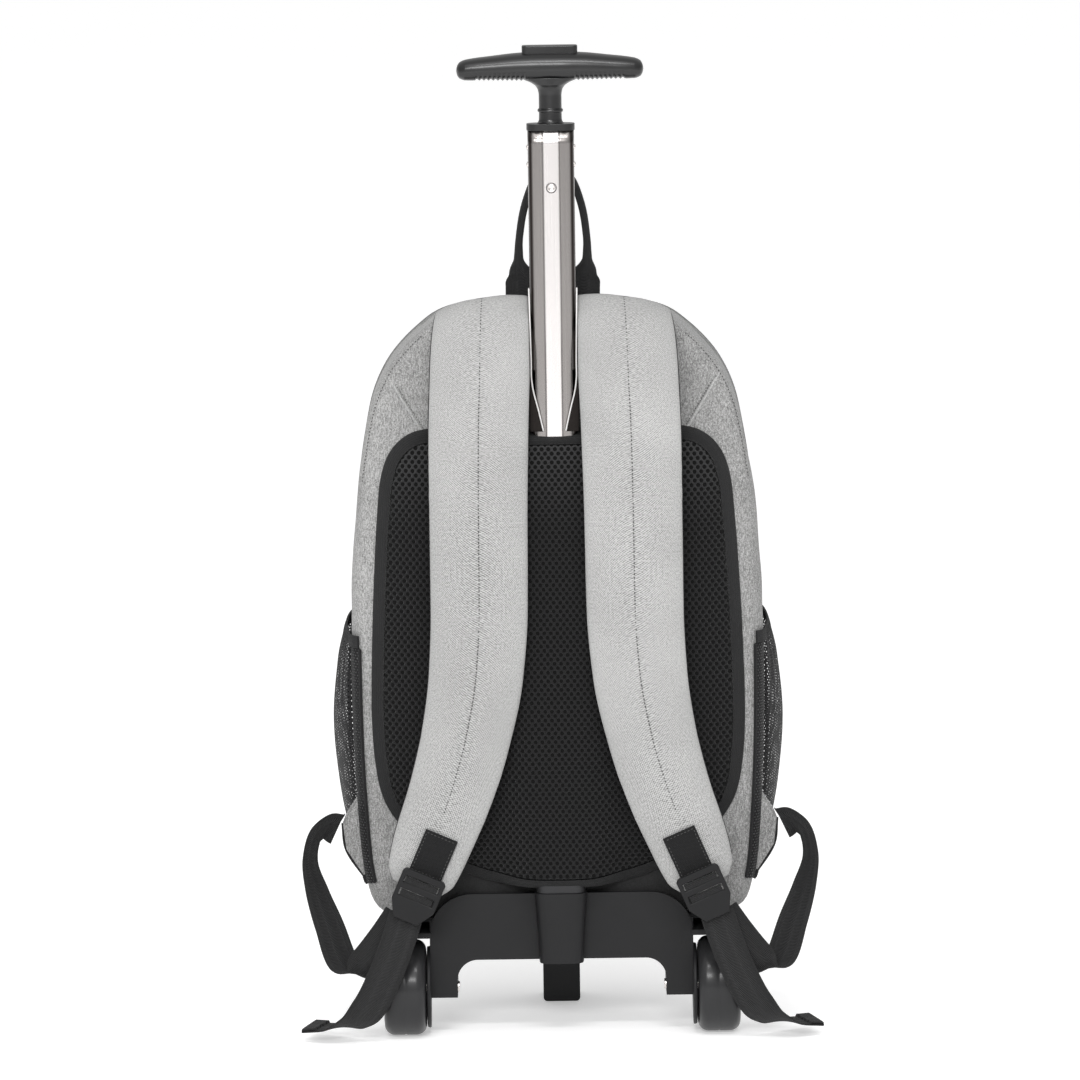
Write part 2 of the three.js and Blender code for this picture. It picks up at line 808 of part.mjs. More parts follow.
function addBuckles() {
  const w = buckleWidth / 2;
  const l = buckleLength / 2;
  const lip = buckleLength * 0.34;
  const frame = new THREE.Shape();
  frame.moveTo(-w + 2, l);
  frame.lineTo(w - 2, l);
  frame.lineTo(w, l - 2);
  frame.lineTo(w, -l + lip);
  frame.lineTo(w * 0.62, -l);
  frame.lineTo(-w * 0.5, -l);
  frame.lineTo(-w, -l + lip);
  frame.lineTo(-w, l - 2);
  frame.closePath();
  const slotHalf = webbingWidth / 2 + 0.8;
  [0, 1].forEach((slot) => {
    const high = l - 5 - slot * (buckleSlot + buckleBar);
    const hole = new THREE.Path();
    hole.moveTo(-slotHalf, high);
    hole.lineTo(-slotHalf, high - buckleSlot);
    hole.lineTo(slotHalf, high - buckleSlot);
    hole.lineTo(slotHalf, high);
    hole.closePath();
    frame.holes.push(hole);
  });
  const solid = plateOf(frame, -buckleThick / 2, buckleThick / 2);
  solid.rotateY(-THREE.MathUtils.degToRad(buckleLean));
  solid.translate(buckleMiddle.x, buckleMiddle.y, buckleMiddle.z);
  addPair("ladder_lock", solid, buckle);
}

addBuckles();

// Side tabs, from which the lower webbing comes

const tabRows = [
  { out: -0.18, down: 0 },
  { out: 0.49, down: 0.25 },
  { out: 0.72, down: 0.36 },
  { out: 0.54, down: 0.66 },
  { out: -0.41, down: 1 },
  { out: -0.03, down: 0.5 },
];

function addSideTabs() {
  const corners = tabRows.map(
    (row) => new THREE.Vector2(bagWidth / 2 + row.out * tabReach, tabTop - row.down * tabHeight),
  );
  addPair("side_tab", plateOf(new THREE.Shape(corners), tabY, tabY + tabWall), heather);
}

addSideTabs();

// Side pockets

const pocketRows = [
  { high: 0, stand: 0.08 },
  { high: 0.12, stand: 0.55 },
  { high: 0.35, stand: 0.86 },
  { high: 0.6, stand: 1 },
  { high: 0.85, stand: 0.72 },
  { high: 1, stand: 0.28 },
];

// The bag's half width at a height.
function bagHalfAt(z) {
  return along(bagOutlineRows.slice(3, 10), "high", "wide", (z - bagBottom) / bagHeight) * bagWidth / 2;
}

function pocketPoint(u, high, lift = 0) {
  const z = pocketTop - pocketHeight + high * pocketHeight;
  const y = pocketRear + u * (pocketFront - pocketRear);
  const crown = Math.pow(Math.sin(u * halfTurn), 0.55);
  const stand = pocketStand * along(pocketRows, "high", "stand", high) * crown;
  const near = pocketWall + seat;
  return new THREE.Vector3(bagHalfAt(z) + near + stand + lift, y, z);
}

function addPockets() {
  const net = (u, v) => pocketPoint(u, v * (1 - (bandHeight + seat) / pocketHeight));
  addPair("side_pocket", cloth(net, 10, 7, pocketWall), pocketMesh);
  const elastic = (u, v) => pocketPoint(u, 1 - (1 - v) * (bandHeight / pocketHeight), bandWall - pocketWall);
  addPair("pocket_band", cloth(elastic, 10, 1, bandWall), webbing);
}

addPockets();

// Grab handle

const grabRows = [
  { along: 0, x: 0.646, high: 0, across: 1, deep: 0.2 },
  { along: 0.12, x: 0.655, high: 0.16, across: 1, deep: 0.2 },
  { along: 0.22, x: 0.74, high: 0.29, across: 0.62, deep: 0.6 },
  { along: 0.3, x: 0.74, high: 0.4, across: 0.28, deep: 0.95 },
  { along: 0.46, x: 0.69, high: 0.6, across: 0.22, deep: 1 },
  { along: 0.62, x: 0.58, high: 0.78, across: 0.22, deep: 1 },
  { along: 0.82, x: 0.34, high: 0.96, across: 0.22, deep: 1 },
  { along: 1, x: 0, high: 1, across: 0.22, deep: 1 },
];

function addGrabHandle() {
  const low = bagTop + seat;
  const rise = grabTop - low;
  const steps = 12;
  const rings = [];
  for (let i = -steps; i <= steps; i++) {
    const t = 1 - Math.abs(i) / steps;
    const side = i < 0 ? -1 : 1;
    const read = (column, at = t) => along(grabRows, "along", column, at);
    const x = side * read("x") * grabSpread;
    const z = low + read("high") * rise;
    const step = 0.01;
    const run = new THREE.Vector3(
      side * (read("x", t - step) - read("x", t + step)) * grabSpread,
      0,
      (read("high", t - step) - read("high", t + step)) * rise,
    );
    if (i < 0) run.multiplyScalar(-1);
    if (i === 0) run.set(1, 0, 0);
    run.normalize();
    if (t < 0.1) run.set(0, 0, i < 0 ? 1 : -1);
    const over = new THREE.Vector3(-run.z, 0, run.x);
    const halfAcross = (read("across") * webbingWidth) / 2;
    const halfDeep = (read("deep") * grabGrip) / 2;
    const corner = (a, b) =>
      new THREE.Vector3(
        x + over.x * a * halfAcross,
        grabY + b * halfDeep,
        Math.max(low, z + over.z * a * halfAcross),
      );
    rings.push([corner(-1, -1), corner(-1, 1), corner(1, 1), corner(1, -1)]);
  }
  add("grab_handle", loft(rings), webbing);
}

addGrabHandle();

// Telescopic handle

function roundedShape(width, depth, radius, middle = 0) {
  const x = width / 2;
  const y = depth / 2;
  const shape = new THREE.Shape();
  shape.moveTo(-x + radius, middle - y);
  shape.lineTo(x - radius, middle - y);
  shape.absarc(x - radius, middle - y + radius, radius, -halfTurn / 2, 0, false);
  shape.lineTo(x, middle + y - radius);
  shape.absarc(x - radius, middle + y - radius, radius, 0, halfTurn / 2, false);
  shape.lineTo(-x + radius, middle + y);
  shape.absarc(-x + radius, middle + y - radius, radius, halfTurn / 2, halfTurn, false);
  shape.lineTo(-x, middle - y + radius);
  shape.absarc(-x + radius, middle - y + radius, radius, halfTurn, halfTurn * 1.5, false);
  return shape;
}

function hollowTube(width, depth, wall, low, high) {
  const radius = depth * 0.42;
  const outer = roundedShape(width, depth, radius, tubeCentre);
  outer.holes.push(roundedShape(width - 2 * wall, depth - 2 * wall, radius - wall, tubeCentre));
  return prismOf(outer, low, high, 4);
}

function addHandleTubes() {
  const low = tubeTop - tubeLength;
  const rivets = [];
  for (const side of [-1, 1]) {
    for (const drop of rivetDrops) {
      const rivet = new THREE.CylinderGeometry(rivetRadius * 0.7, rivetRadius, 2 * rivetStand, 8);
      rivet.rotateZ(-side * halfTurn / 2);
      rivets.push(rivet.translate(side * (tubeWidth / 2 + seat), tubeCentre, tubeTop - drop));
    }
  }
  const tube = hollowTube(tubeWidth, tubeDepth, tubeWall, low, tubeTop);
  add("steel_tube", joined(tube, ...rivets), steel);

  const near = tubeCentre - tubeDepth / 2;
  const pin = new THREE.LatheGeometry(
    [
      new THREE.Vector2(0, 0),
      new THREE.Vector2(pinRadius, 0),
      new THREE.Vector2(pinRadius, pinStand * 0.55),
      new THREE.Vector2(pinRadius - 0.7, pinStand),
      new THREE.Vector2(0, pinStand),
    ],
    12,
  );
  pin.rotateX(halfTurn);
  pin.translate(0, near - seat, pinHeight);
  add("tube_pin", pin, steel);

  const sleeveLow = plateTop + bossLip + seat;
  add("outer_sleeve", hollowTube(sleeveWidth, sleeveDepth, sleeveWall, sleeveLow, sleeveTop), sleeveMetal);

  const cap = prismOf(
    roundedShape(collarWidth, tubeDepth + 1.4, tubeDepth * 0.45, tubeCentre),
    tubeTop + seat,
    tubeTop + seat + collarHeight,
    4,
  );
  const inset = 2 * (tubeWall + seat);
  const plug = prismOf(
    roundedShape(tubeWidth - inset, tubeDepth - inset, tubeDepth * 0.42 - tubeWall - seat, tubeCentre),
    tubeTop - collarPlug,
    tubeTop + seat + 1,
    4,
  );
  add("tube_collar", joined(cap, plug), gripPlastic);
}

addHandleTubes();

// Grip

const gripRows = [
  { along: -1, top: 0.52, low: 0.3, deep: 0.35 },
  { along: -0.96, top: 0.69, low: 0.1, deep: 0.62 },
  { along: -0.88, top: 0.77, low: 0.04, deep: 0.74 },
  { along: -0.6, top: 0.89, low: 0.03, deep: 0.86 },
  { along: -0.34, top: 0.98, low: 0.02, deep: 0.96 },
  { along: -0.1, top: 1, low: 0, deep: 1 },
  { along: 0.1, top: 1, low: 0, deep: 1 },
  { along: 0.34, top: 0.98, low: 0.02, deep: 0.96 },
  { along: 0.6, top: 0.89, low: 0.03, deep: 0.86 },
  { along: 0.88, top: 0.77, low: 0.04, deep: 0.74 },
  { along: 0.96, top: 0.69, low: 0.1, deep: 0.62 },
  { along: 1, top: 0.52, low: 0.3, deep: 0.35 },
];

// The neck under the bar, with the bead round it and the flare into the bar.
const neckRows = [
  { wide: 0, high: 0 },
  { wide: 1.17, high: 0 },
  { wide: 1, high: 0.09 },
  { wide: 1, high: 0.22 },
  { wide: 1.1, high: 0.27 },
  { wide: 1.1, high: 0.34 },
  { wide: 1, high: 0.39 },
  { wide: 1, high: 0.62 },
  { wide: 1.24, high: 0.85 },
  { wide: 1.67, high: 0.97 },
  { wide: 1.67, high: 1.2 },
  { wide: 0, high: 1.2 },
];

function addGrip() {
  const rings = gripRows.map((row) => {
    const ring = [];
    const low = gripBottom + row.low * gripHeight;
    const high = gripBottom + row.top * gripHeight;
    const sides = 12;
    for (let j = 0; j < sides; j++) {
      const turn = ((j + 0.5) / sides) * 2 * halfTurn;
      const y = Math.cos(turn);
      const z = Math.sin(turn);
      const squared = (value) => Math.sign(value) * Math.pow(Math.abs(value), 0.7);
      ring.push(
        new THREE.Vector3(
          (row.along * gripLength) / 2,
          tubeCentre + (squared(y) * row.deep * gripDepth) / 2,
          (low + high) / 2 + (squared(z) * (high - low)) / 2,
        ),
      );
    }
    return ring;
  });
  const bar = loft(rings);

  const collarTop = tubeTop + seat + collarHeight;
  const neckFoot = collarTop + seat;
  const neckRise = gripBottom - neckFoot;
  const neck = new THREE.LatheGeometry(
    neckRows.map((row) => new THREE.Vector2(row.wide * neckRadius, neckFoot + row.high * neckRise)),
    16,
  );
  neck.rotateX(halfTurn / 2);
  neck.translate(0, tubeCentre, 0);

  const teeth = [];
  const toothHalf = toothPitch / 4;
  const reach = gripDepth * 0.3;
  const cutHigh = gripBottom + toothDepth + 0.5;
  for (const side of [-1, 1]) {
    for (let i = 0; i < gripTeeth; i++) {
      const x = side * (teethStart + i * toothPitch);
      const across = [x - toothHalf, x + toothHalf];
      teeth.push(block(...across, tubeCentre - reach, tubeCentre + reach, gripBottom - 1, cutHigh));
    }
  }
  const top = gripBottom + gripHeight;
  const wellDepth = buttonTravel + 3;
  const well = prismOf(
    roundedShape(
      buttonLength + 2 * buttonPlay,
      buttonDepth + 2 * buttonPlay,
      buttonDepth * 0.3,
      tubeCentre,
    ),
    top - wellDepth,
    top + 2,
    3,
  );
  add("t_grip", cut(joined(bar, neck), well, ...teeth), gripPlastic);

  const button = prismOf(
    roundedShape(buttonLength, buttonDepth, buttonDepth * 0.3 - buttonPlay, tubeCentre),
    top - wellDepth + buttonTravel + 0.5,
    top + buttonRise,
    3,
  );
  add("release_button", button, gripPlastic);
}

addGrip();

// Cloth flaps at the foot of the visible tube

const flapRows = [
  { high: 0, edge: 0.46 },
  { high: 0.35, edge: 0.66 },
  { high: 0.75, edge: 0.9 },
  { high: 1, edge: 0.96 },
];
const flapHeight = 44;
const flapWall = 1.2;

function addTubeFlaps() {
  const side = tubeWidth / 2 + tubeRunning + flapWall;
  const near = tubeCentre - tubeDepth / 2 - tubeRunning - flapWall;
  const inner = side - flapWall;
  const low = padTop + seat;
  const high = low + flapHeight;
  const angle = new THREE.Shape();
  angle.moveTo(side, padBack);
  angle.lineTo(inner, padBack);
  angle.lineTo(inner, near + flapWall);
  angle.lineTo(0, near + flapWall);
  angle.lineTo(0, near);
  angle.lineTo(side, near);
  angle.closePath();
  const opening = new THREE.Shape();
  opening.moveTo(-1, low - 1);
  flapRows.forEach((row) => opening.lineTo(row.edge * inner, low + row.high * flapHeight));
  opening.lineTo(inner - seat, high + 1);
  opening.lineTo(-1, high + 1);
  opening.closePath();
  const flap = cut(prismOf(angle, low, high), plateOf(opening, near - 1, near + flapWall + 1));
  addPair("tube_flap", flap, lining);
}

addTubeFlaps();

// Chassis

const bossRows = [
  { high: -0.01, wide: 0, deep: 0.88 },
  { high: 0.37, wide: 0.27, deep: 0.96 },
  { high: 0.89, wide: 1, deep: 1 },
  { high: 1, wide: 1, deep: 1 },
];

function addChassis() {
  const x = plateWidth / 2;
  const inner = x - legWidth;
  const shape = new THREE.Shape();
  shape.moveTo(-x, legLow);
  shape.lineTo(-inner, legLow);
  shape.lineTo(-inner, plateLow - archRadius);
  shape.absarc(-inner + archRadius, plateLow - archRadius, archRadius, halfTurn, halfTurn / 2, true);
  shape.lineTo(inner - archRadius, plateLow);
  shape.absarc(inner - archRadius, plateLow - archRadius, archRadius, halfTurn / 2, 0, true);
  shape.lineTo(inner, legLow);
  shape.lineTo(x, legLow);
  shape.lineTo(x, plateTop - plateShoulder);
  shape.absarc(x - plateShoulder, plateTop - plateShoulder, plateShoulder, 0, halfTurn / 2, false);
  shape.lineTo(-x + plateShoulder, plateTop);
  shape.absarc(-x + plateShoulder, plateTop - plateShoulder, plateShoulder, halfTurn / 2, halfTurn, false);
  const plate = plateOf(shape, plateY, plateY + plateWall);

  const legs = [];
  const bores = [];
  const fenders = [];
  const fenderLow = wheelRadius * 2 + wheelGap;
  const wheelOut = wheelSpread / 2 + wheelWidth / 2;
  const trayTop = bagBottom - seat;
  for (const side of [-1, 1]) {
    const xs = side > 0 ? [inner, x] : [-x, -inner];
    legs.push(block(...xs, plateY + 1, plateY + legDepth, legLow, trayTop - trayWall / 2));
    const over = side > 0 ? [x - 1, wheelOut] : [-wheelOut, -x + 1];
    const fenderBack = wheelY + wheelRadius * 0.6;
    fenders.push(block(...over, plateY - fenderLip, fenderBack, fenderLow, fenderLow + fenderWall));
    const bore = new THREE.CylinderGeometry(axleRadius + seat, axleRadius + seat, legWidth + 2, 16);
    bore.rotateZ(halfTurn / 2);
    bores.push(bore.translate(side * (x - legWidth / 2), wheelY, wheelRadius));
  }
  const tray = prismOf(
    roundedShape(trayWidth, trayDepth, trayRound, plateY + plateWall / 2 + trayDepth / 2),
    trayTop - trayWall,
    trayTop,
    4,
  );

  const bossRing = (width, depth, z) => {
    const ring = [];
    const sides = 16;
    for (let j = 0; j < sides; j++) {
      const turn = (j / sides) * 2 * halfTurn;
      const squared = (value) => Math.sign(value) * Math.pow(Math.abs(value), 0.6);
      ring.push(
        new THREE.Vector3(
          (squared(Math.cos(turn)) * width) / 2,
          tubeCentre + (squared(Math.sin(turn)) * depth) / 2,
          z,
        ),
      );
    }
    return ring;
  };
  const bossHeight = plateTop + bossLip - plateLow;
  const boss = loft(
    bossRows.map((row) =>
      bossRing(
        bossLowWidth + row.wide * (bossTopWidth - bossLowWidth),
        row.deep * bossDepth,
        plateLow + row.high * bossHeight,
      ),
    ),
  );
  const spigotInset = 2 * (sleeveWall + seat);
  const spigot = prismOf(
    roundedShape(
      sleeveWidth - spigotInset,
      sleeveDepth - spigotInset,
      tubeDepth * 0.4,
      tubeCentre,
    ),
    plateTop - 2,
    plateTop + spigotHeight,
  );
  add("chassis", cut(joined(plate, ...legs, ...fenders, tray, boss, spigot), ...bores), moulding);
}

function addFrontFoot() {
  const x = footWidth / 2;
  const high = bagBottom - 2 * seat - trayWall;
  const shape = new THREE.Shape();
  shape.moveTo(-x + footRound, 0);
  shape.lineTo(x - footRound, 0);
  shape.absarc(x - footRound, footRound, footRound, -halfTurn / 2, 0, false);
  shape.lineTo(x, high);
  shape.lineTo(-x, high);
  shape.lineTo(-x, footRound);
  shape.absarc(-x + footRound, footRound, footRound, halfTurn, halfTurn * 1.5, false);
  add("front_foot", plateOf(shape, footY, footY + footDepth, 4), moulding);
}

addChassis();
addFrontFoot();

// Wheels

// A closed profile of radius and place along the axle, turned about the axle.
function turned(profile, sides, side) {
  const solid = new THREE.LatheGeometry(profile, sides);
  solid.rotateZ(-halfTurn / 2);
  return solid.translate((side * wheelSpread) / 2, wheelY, wheelRadius);
}

function ringProfile(bore, radius, width, round, steps) {
  const half = width / 2;
  const points = [new THREE.Vector2(bore, -half), new THREE.Vector2(radius - round, -half)];
  for (const end of [-1, 1]) {
    for (let i = 1; i < steps + 1; i++) {
      const turn = end < 0 ? i / steps : 1 - i / steps;
      const angle = (turn * halfTurn) / 2;
      const out = radius - round + Math.sin(angle) * round;
      points.push(new THREE.Vector2(out, end * (half - round + Math.cos(angle) * round)));
    }
    if (end < 0) points.push(new THREE.Vector2(radius, half - round));
  }
  points.push(new THREE.Vector2(bore, half), new THREE.Vector2(bore, -half));
  return points;
}

function addWheels() {
  const sides = 20;
  const tyreRing = turned(ringProfile(hubRadius, wheelRadius, wheelWidth, wheelShoulder, 2), sides, 1);
  addPair("tyre", tyreRing, tyre);
  const bore = axleRadius + axlePlay;
  addPair("wheel_hub", turned(ringProfile(bore, hubRadius - seat, hubWidth, 1.5, 1), sides, 1), hub);

  const inner = plateWidth / 2 - legWidth - 1.5;
  const outer = wheelSpread / 2 + hubWidth / 2 + 1.5;
  const axle = new THREE.CylinderGeometry(axleRadius, axleRadius, outer - inner, 16);
  axle.rotateZ(halfTurn / 2);
  addPair("axle", axle.translate((inner + outer) / 2, wheelY, wheelRadius), steel);
}

addWheels();

// Zip slider with its puller, at the top of the main zip

function addZipSlider() {
  const half = sliderLength / 2;
  const rear = bagPoint(0.5, zipShare - half / bagDepth);
  const middle = bagPoint(0.5, zipShare).y;
  const low = rear.z + seat;
  const side = sliderWidth / 2;
  const body = block(-side, side, middle - half, middle + half, low, low + sliderHeight);
  const puller = block(
    side - 1,
    side + pullerLength,
    middle - pullerWidth / 2,
    middle + pullerWidth / 2,
    low + sliderHeight * 0.3,
    low + sliderHeight * 0.85,
  );
  add("zip_slider", joined(body, puller), buckle);
}

addZipSlider();

// The origin is the middle of the base.
const box = new THREE.Box3().setFromObject(part);
part.position.set(-(box.min.x + box.max.x) / 2, -(box.min.y + box.max.y) / 2, -box.min.z);

export default part;
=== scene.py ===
# A wheeled backpack seen from its strap side: heather-grey bag, padded mesh back, steel pull handle.
import math

import bmesh
import bpy
import numpy as np
from mathutils import Matrix, Vector, noise


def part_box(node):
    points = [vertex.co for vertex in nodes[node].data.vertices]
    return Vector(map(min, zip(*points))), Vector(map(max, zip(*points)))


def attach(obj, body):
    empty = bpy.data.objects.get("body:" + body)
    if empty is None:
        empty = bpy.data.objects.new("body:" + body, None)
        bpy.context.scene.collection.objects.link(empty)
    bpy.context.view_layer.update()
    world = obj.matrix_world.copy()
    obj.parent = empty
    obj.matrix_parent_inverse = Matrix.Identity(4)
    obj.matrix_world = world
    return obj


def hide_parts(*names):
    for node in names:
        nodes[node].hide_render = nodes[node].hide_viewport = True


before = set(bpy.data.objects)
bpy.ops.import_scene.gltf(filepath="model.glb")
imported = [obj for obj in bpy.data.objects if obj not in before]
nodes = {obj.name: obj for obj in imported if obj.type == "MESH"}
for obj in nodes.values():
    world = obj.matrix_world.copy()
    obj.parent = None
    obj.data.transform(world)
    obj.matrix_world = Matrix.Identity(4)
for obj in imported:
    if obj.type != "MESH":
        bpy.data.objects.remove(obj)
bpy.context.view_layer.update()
print("frame loaded:", len(nodes), "nodes")

# Camera, floor and lights
view = {
    "at": (-0.0117, -4.9369, 1.0494),
    "down": 8.0,
    "roll": -0.8,
    "lens": 225.2,
    "sensor": 36,
    "clip": (0.1, 60),
    "floorWhite": (0.86, 0.86, 0.86),
    "floorGlow": 0.36,
    "sky": (1.0, 1.0, 1.0),
    "horizon": 0.46,
    "overhead": 0.8,
    "overheadFrom": 0.7,
    "floorHalf": 30,
    "lamps": {
        "key": ((-0.4, -3.4, 1.9), (0, 0, 0.2), (1.6, 0.5), 66),
        "strip": ((0.1, -2.1, 2.7), (0, 0, 0.7), (1.5, 0.3), 34),
        "top": ((0, -1.4, 3.3), (0, 0, 0.2), (2.4, 1.0), 10),
    },
}


def addCamera():
    camera = bpy.data.cameras.new("camera")
    camera.lens = view["lens"]
    camera.sensor_width = view["sensor"]
    camera.clip_start, camera.clip_end = view["clip"]
    holder = bpy.data.objects.new("camera", camera)
    bpy.context.scene.collection.objects.link(holder)
    tilt = Matrix.Rotation(math.radians(90 - view["down"]), 4, "X")
    roll = Matrix.Rotation(math.radians(view["roll"]), 4, "Z")
    holder.matrix_world = Matrix.Translation(view["at"]) @ tilt @ roll
    bpy.context.scene.camera = holder


def addLamp(name, at, aim, size, power):
    lamp = bpy.data.lights.new(name, "AREA")
    lamp.shape = "RECTANGLE"
    lamp.size, lamp.size_y = size
    lamp.energy = power
    holder = bpy.data.objects.new(name, lamp)
    bpy.context.scene.collection.objects.link(holder)
    facing = (Vector(aim) - Vector(at)).to_track_quat("-Z", "Y").to_matrix().to_4x4()
    holder.matrix_world = Matrix.Translation(at) @ facing


# Shader wires: arithmetic on a wire adds its Math nodes.
class Wire:
    def __init__(self, finish, socket):
        self.finish = finish
        self.socket = socket

    def math(self, operation, *rest):
        return self.finish.node("ShaderNodeMath", {"operation": operation}, (self, *rest))

    def flipped(self, operation, first):
        return self.finish.node("ShaderNodeMath", {"operation": operation}, (first, self))

    def __add__(self, other):
        return self.math("ADD", other)

    __radd__ = __add__

    def __sub__(self, other):
        return self.math("SUBTRACT", other)

    def __rsub__(self, other):
        return self.flipped("SUBTRACT", other)

    def __mul__(self, other):
        return self.math("MULTIPLY", other)

    __rmul__ = __mul__

    def __truediv__(self, other):
        return self.math("DIVIDE", other)

    def __pow__(self, other):
        return self.math("POWER", other)


class Finish:
    def __init__(self, name, shown):
        self.material = bpy.data.materials.new(name)
        self.material.diffuse_color = (*shown, 1)
        self.material.use_nodes = True
        self.tree = self.material.node_tree
        self.tree.nodes.clear()
        self.shader = self.tree.nodes.new("ShaderNodeBsdfPrincipled")
        end = self.tree.nodes.new("ShaderNodeOutputMaterial")
        self.tree.links.new(self.shader.outputs[0], end.inputs[0])

    def node(self, kind, settings=None, inputs=(), output=0):
        made = self.tree.nodes.new(kind)
        for key, value in (settings or {}).items():
            setattr(made, key, value)
        pairs = inputs.items() if isinstance(inputs, dict) else enumerate(inputs)
        for key, value in pairs:
            self.join(made.inputs[key], value)
        return Wire(self, made.outputs[output])

    def join(self, socket, value):
        if isinstance(value, Wire):
            self.tree.links.new(value.socket, socket)
        else:
            socket.default_value = value

    def split(self, vector):
        return [self.node("ShaderNodeSeparateXYZ", None, (vector,), axis) for axis in range(3)]

    def place(self):
        return self.node("ShaderNodeTexCoord", None, (), "Object")

    def pattern(self):
        return self.node("ShaderNodeUVMap", {"uv_map": "cloth"})

    def vector(self, x, y, z=0.0):
        return self.node("ShaderNodeCombineXYZ", None, (x, y, z))

    def speckle(self, where, scale, detail=3.0, rough=0.6):
        sockets = {"Vector": where, "Scale": scale, "Detail": detail, "Roughness": rough}
        return self.node("ShaderNodeTexNoise", None, sockets)

    def step(self, value, low, high):
        sockets = {"Value": value, "From Min": low, "From Max": high}
        return self.node("ShaderNodeMapRange", {"interpolation_type": "SMOOTHSTEP"}, sockets)

    def mix(self, share, first, second):
        sockets = {0: share, 6: (*first, 1) if isinstance(first, tuple) else first}
        sockets[7] = (*second, 1) if isinstance(second, tuple) else second
        return self.node("ShaderNodeMix", {"data_type": "RGBA"}, sockets, 2)

    def bump(self, height, depth, strength=1.0):
        sockets = {"Height": height, "Distance": depth, "Strength": strength}
        return self.node("ShaderNodeBump", None, sockets)

    def wear(self, colour, roughness, normal=None, **fixed):
        self.join(self.shader.inputs["Base Color"], (*colour, 1) if isinstance(colour, tuple) else colour)
        self.join(self.shader.inputs["Roughness"], roughness)
        if normal is not None:
            self.join(self.shader.inputs["Normal"], normal)
        for key, value in fixed.items():
            self.join(self.shader.inputs[key.replace("_", " ")], value)
        return self.material


# The foot of the bag's back, behind the pad, is painted near-black: painted shade under the pad's lower
# edge, with where it fades out across, up and forwards.
paintedFootShade = {
    "half": (0.098, 0.104),
    "top": (0.15, 0.156),
    "front": (-0.066, -0.062),
    "dark": (0.006, 0.006, 0.006),
    "light": (0.016, 0.016, 0.0165),
}


def heatherCloth(name, dark, light):
    f = Finish(name, light)
    place = f.place()
    x, y, z = f.split(place)
    fleck = f.speckle(place, 900.0, 2.0, 0.7)
    slub = f.speckle(f.vector(x * 1500.0, y * 1500.0, z * 380.0), 1.0, 2.0, 0.7)
    lint = f.speckle(place, 2200.0, 2.0, 0.8)
    cloud = f.speckle(place, 9.0, 3.0)
    tone = f.step(fleck * 0.3 + slub * 0.35 + lint * 0.35 + (cloud - 0.5) * 0.14, 0.38, 0.64)
    colour = f.mix(tone, dark, light)
    # Painted shade: the heather is darkened to near black at the foot of the back, behind the pad.
    inside = 1 - f.step(x.math("ABSOLUTE"), *paintedFootShade["half"])
    foot = inside * (1 - f.step(z, *paintedFootShade["top"])) * (1 - f.step(y, *paintedFootShade["front"]))
    colour = f.mix(foot, colour, f.mix(tone, paintedFootShade["dark"], paintedFootShade["light"]))
    height = fleck * 0.6 + lint * 0.4
    return f.wear(colour, 0.92, f.bump(height, 0.0005, 0.7), Sheen_Weight=0.1, Sheen_Roughness=0.5)


def strapCloth(name, dark, light, pitch=0.0015):
    # Fine slanted rows of dots, as on a knitted cloth.
    f = Finish(name, light)
    u, v, _ = f.split(f.pattern())
    turn = 2 * math.pi / pitch
    across = (u * turn + v * (turn * 0.12)).math("SINE")
    along = (v * turn).math("SINE")
    dots = across * along * 0.5 + 0.5
    fleck = f.speckle(f.vector(u / 0.0013, v / 0.0013), 1.0, 2.0, 0.8)
    cloud = f.speckle(f.place(), 12.0, 3.0)
    tone = f.step(dots * 0.36 + fleck * 0.64 + (cloud - 0.5) * 0.16, 0.24, 0.7)
    colour = f.mix(tone, dark, light)
    height = dots * 0.6 + fleck * 0.4
    return f.wear(colour, 0.92, f.bump(height, 0.0004, 0.7), Sheen_Weight=0.1, Sheen_Roughness=0.5)


def webbingCloth(name, shade, rib=0.0011, lane=0.0042):
    f = Finish(name, shade)
    u, v, _ = f.split(f.pattern())
    side = (v * (2 * math.pi / lane)).math("SINE")
    lean = side.math("ABSOLUTE") * 0.9
    ribs = ((u / rib + lean) * (2 * math.pi)).math("SINE") * 0.5 + 0.5
    lanes = side.math("ABSOLUTE") ** 0.5
    lint = f.speckle(f.place(), 900.0, 3.0, 0.7)
    tone = f.step(ribs * 0.6 + lint * 0.6, 0.3, 0.95)
    colour = f.mix(tone, tuple(c * 0.3 for c in shade), tuple(c * 1.6 for c in shade))
    height = ribs * lanes
    rough = lint * 0.2 + 0.7
    normal = f.bump(height, 0.0005, 1.0)
    return f.wear(colour, rough, normal, Specular_IOR_Level=0.25, Sheen_Weight=0.05, Sheen_Roughness=0.4)


def holedLattice(f, x, z, across, down):
    # Distance to the nearest hole of a staggered lattice, 0 at its middle, in shares of the pitch.
    def cell(dx, dz):
        a = ((x / across + dx).math("FRACT") - 0.5) * across
        b = ((z / down + dz).math("FRACT") - 0.5) * down
        return (a * a + b * b) ** 0.5

    first = cell(0.0, 0.0)
    second = cell(0.5, 0.5)
    return first.math("MINIMUM", second) / across


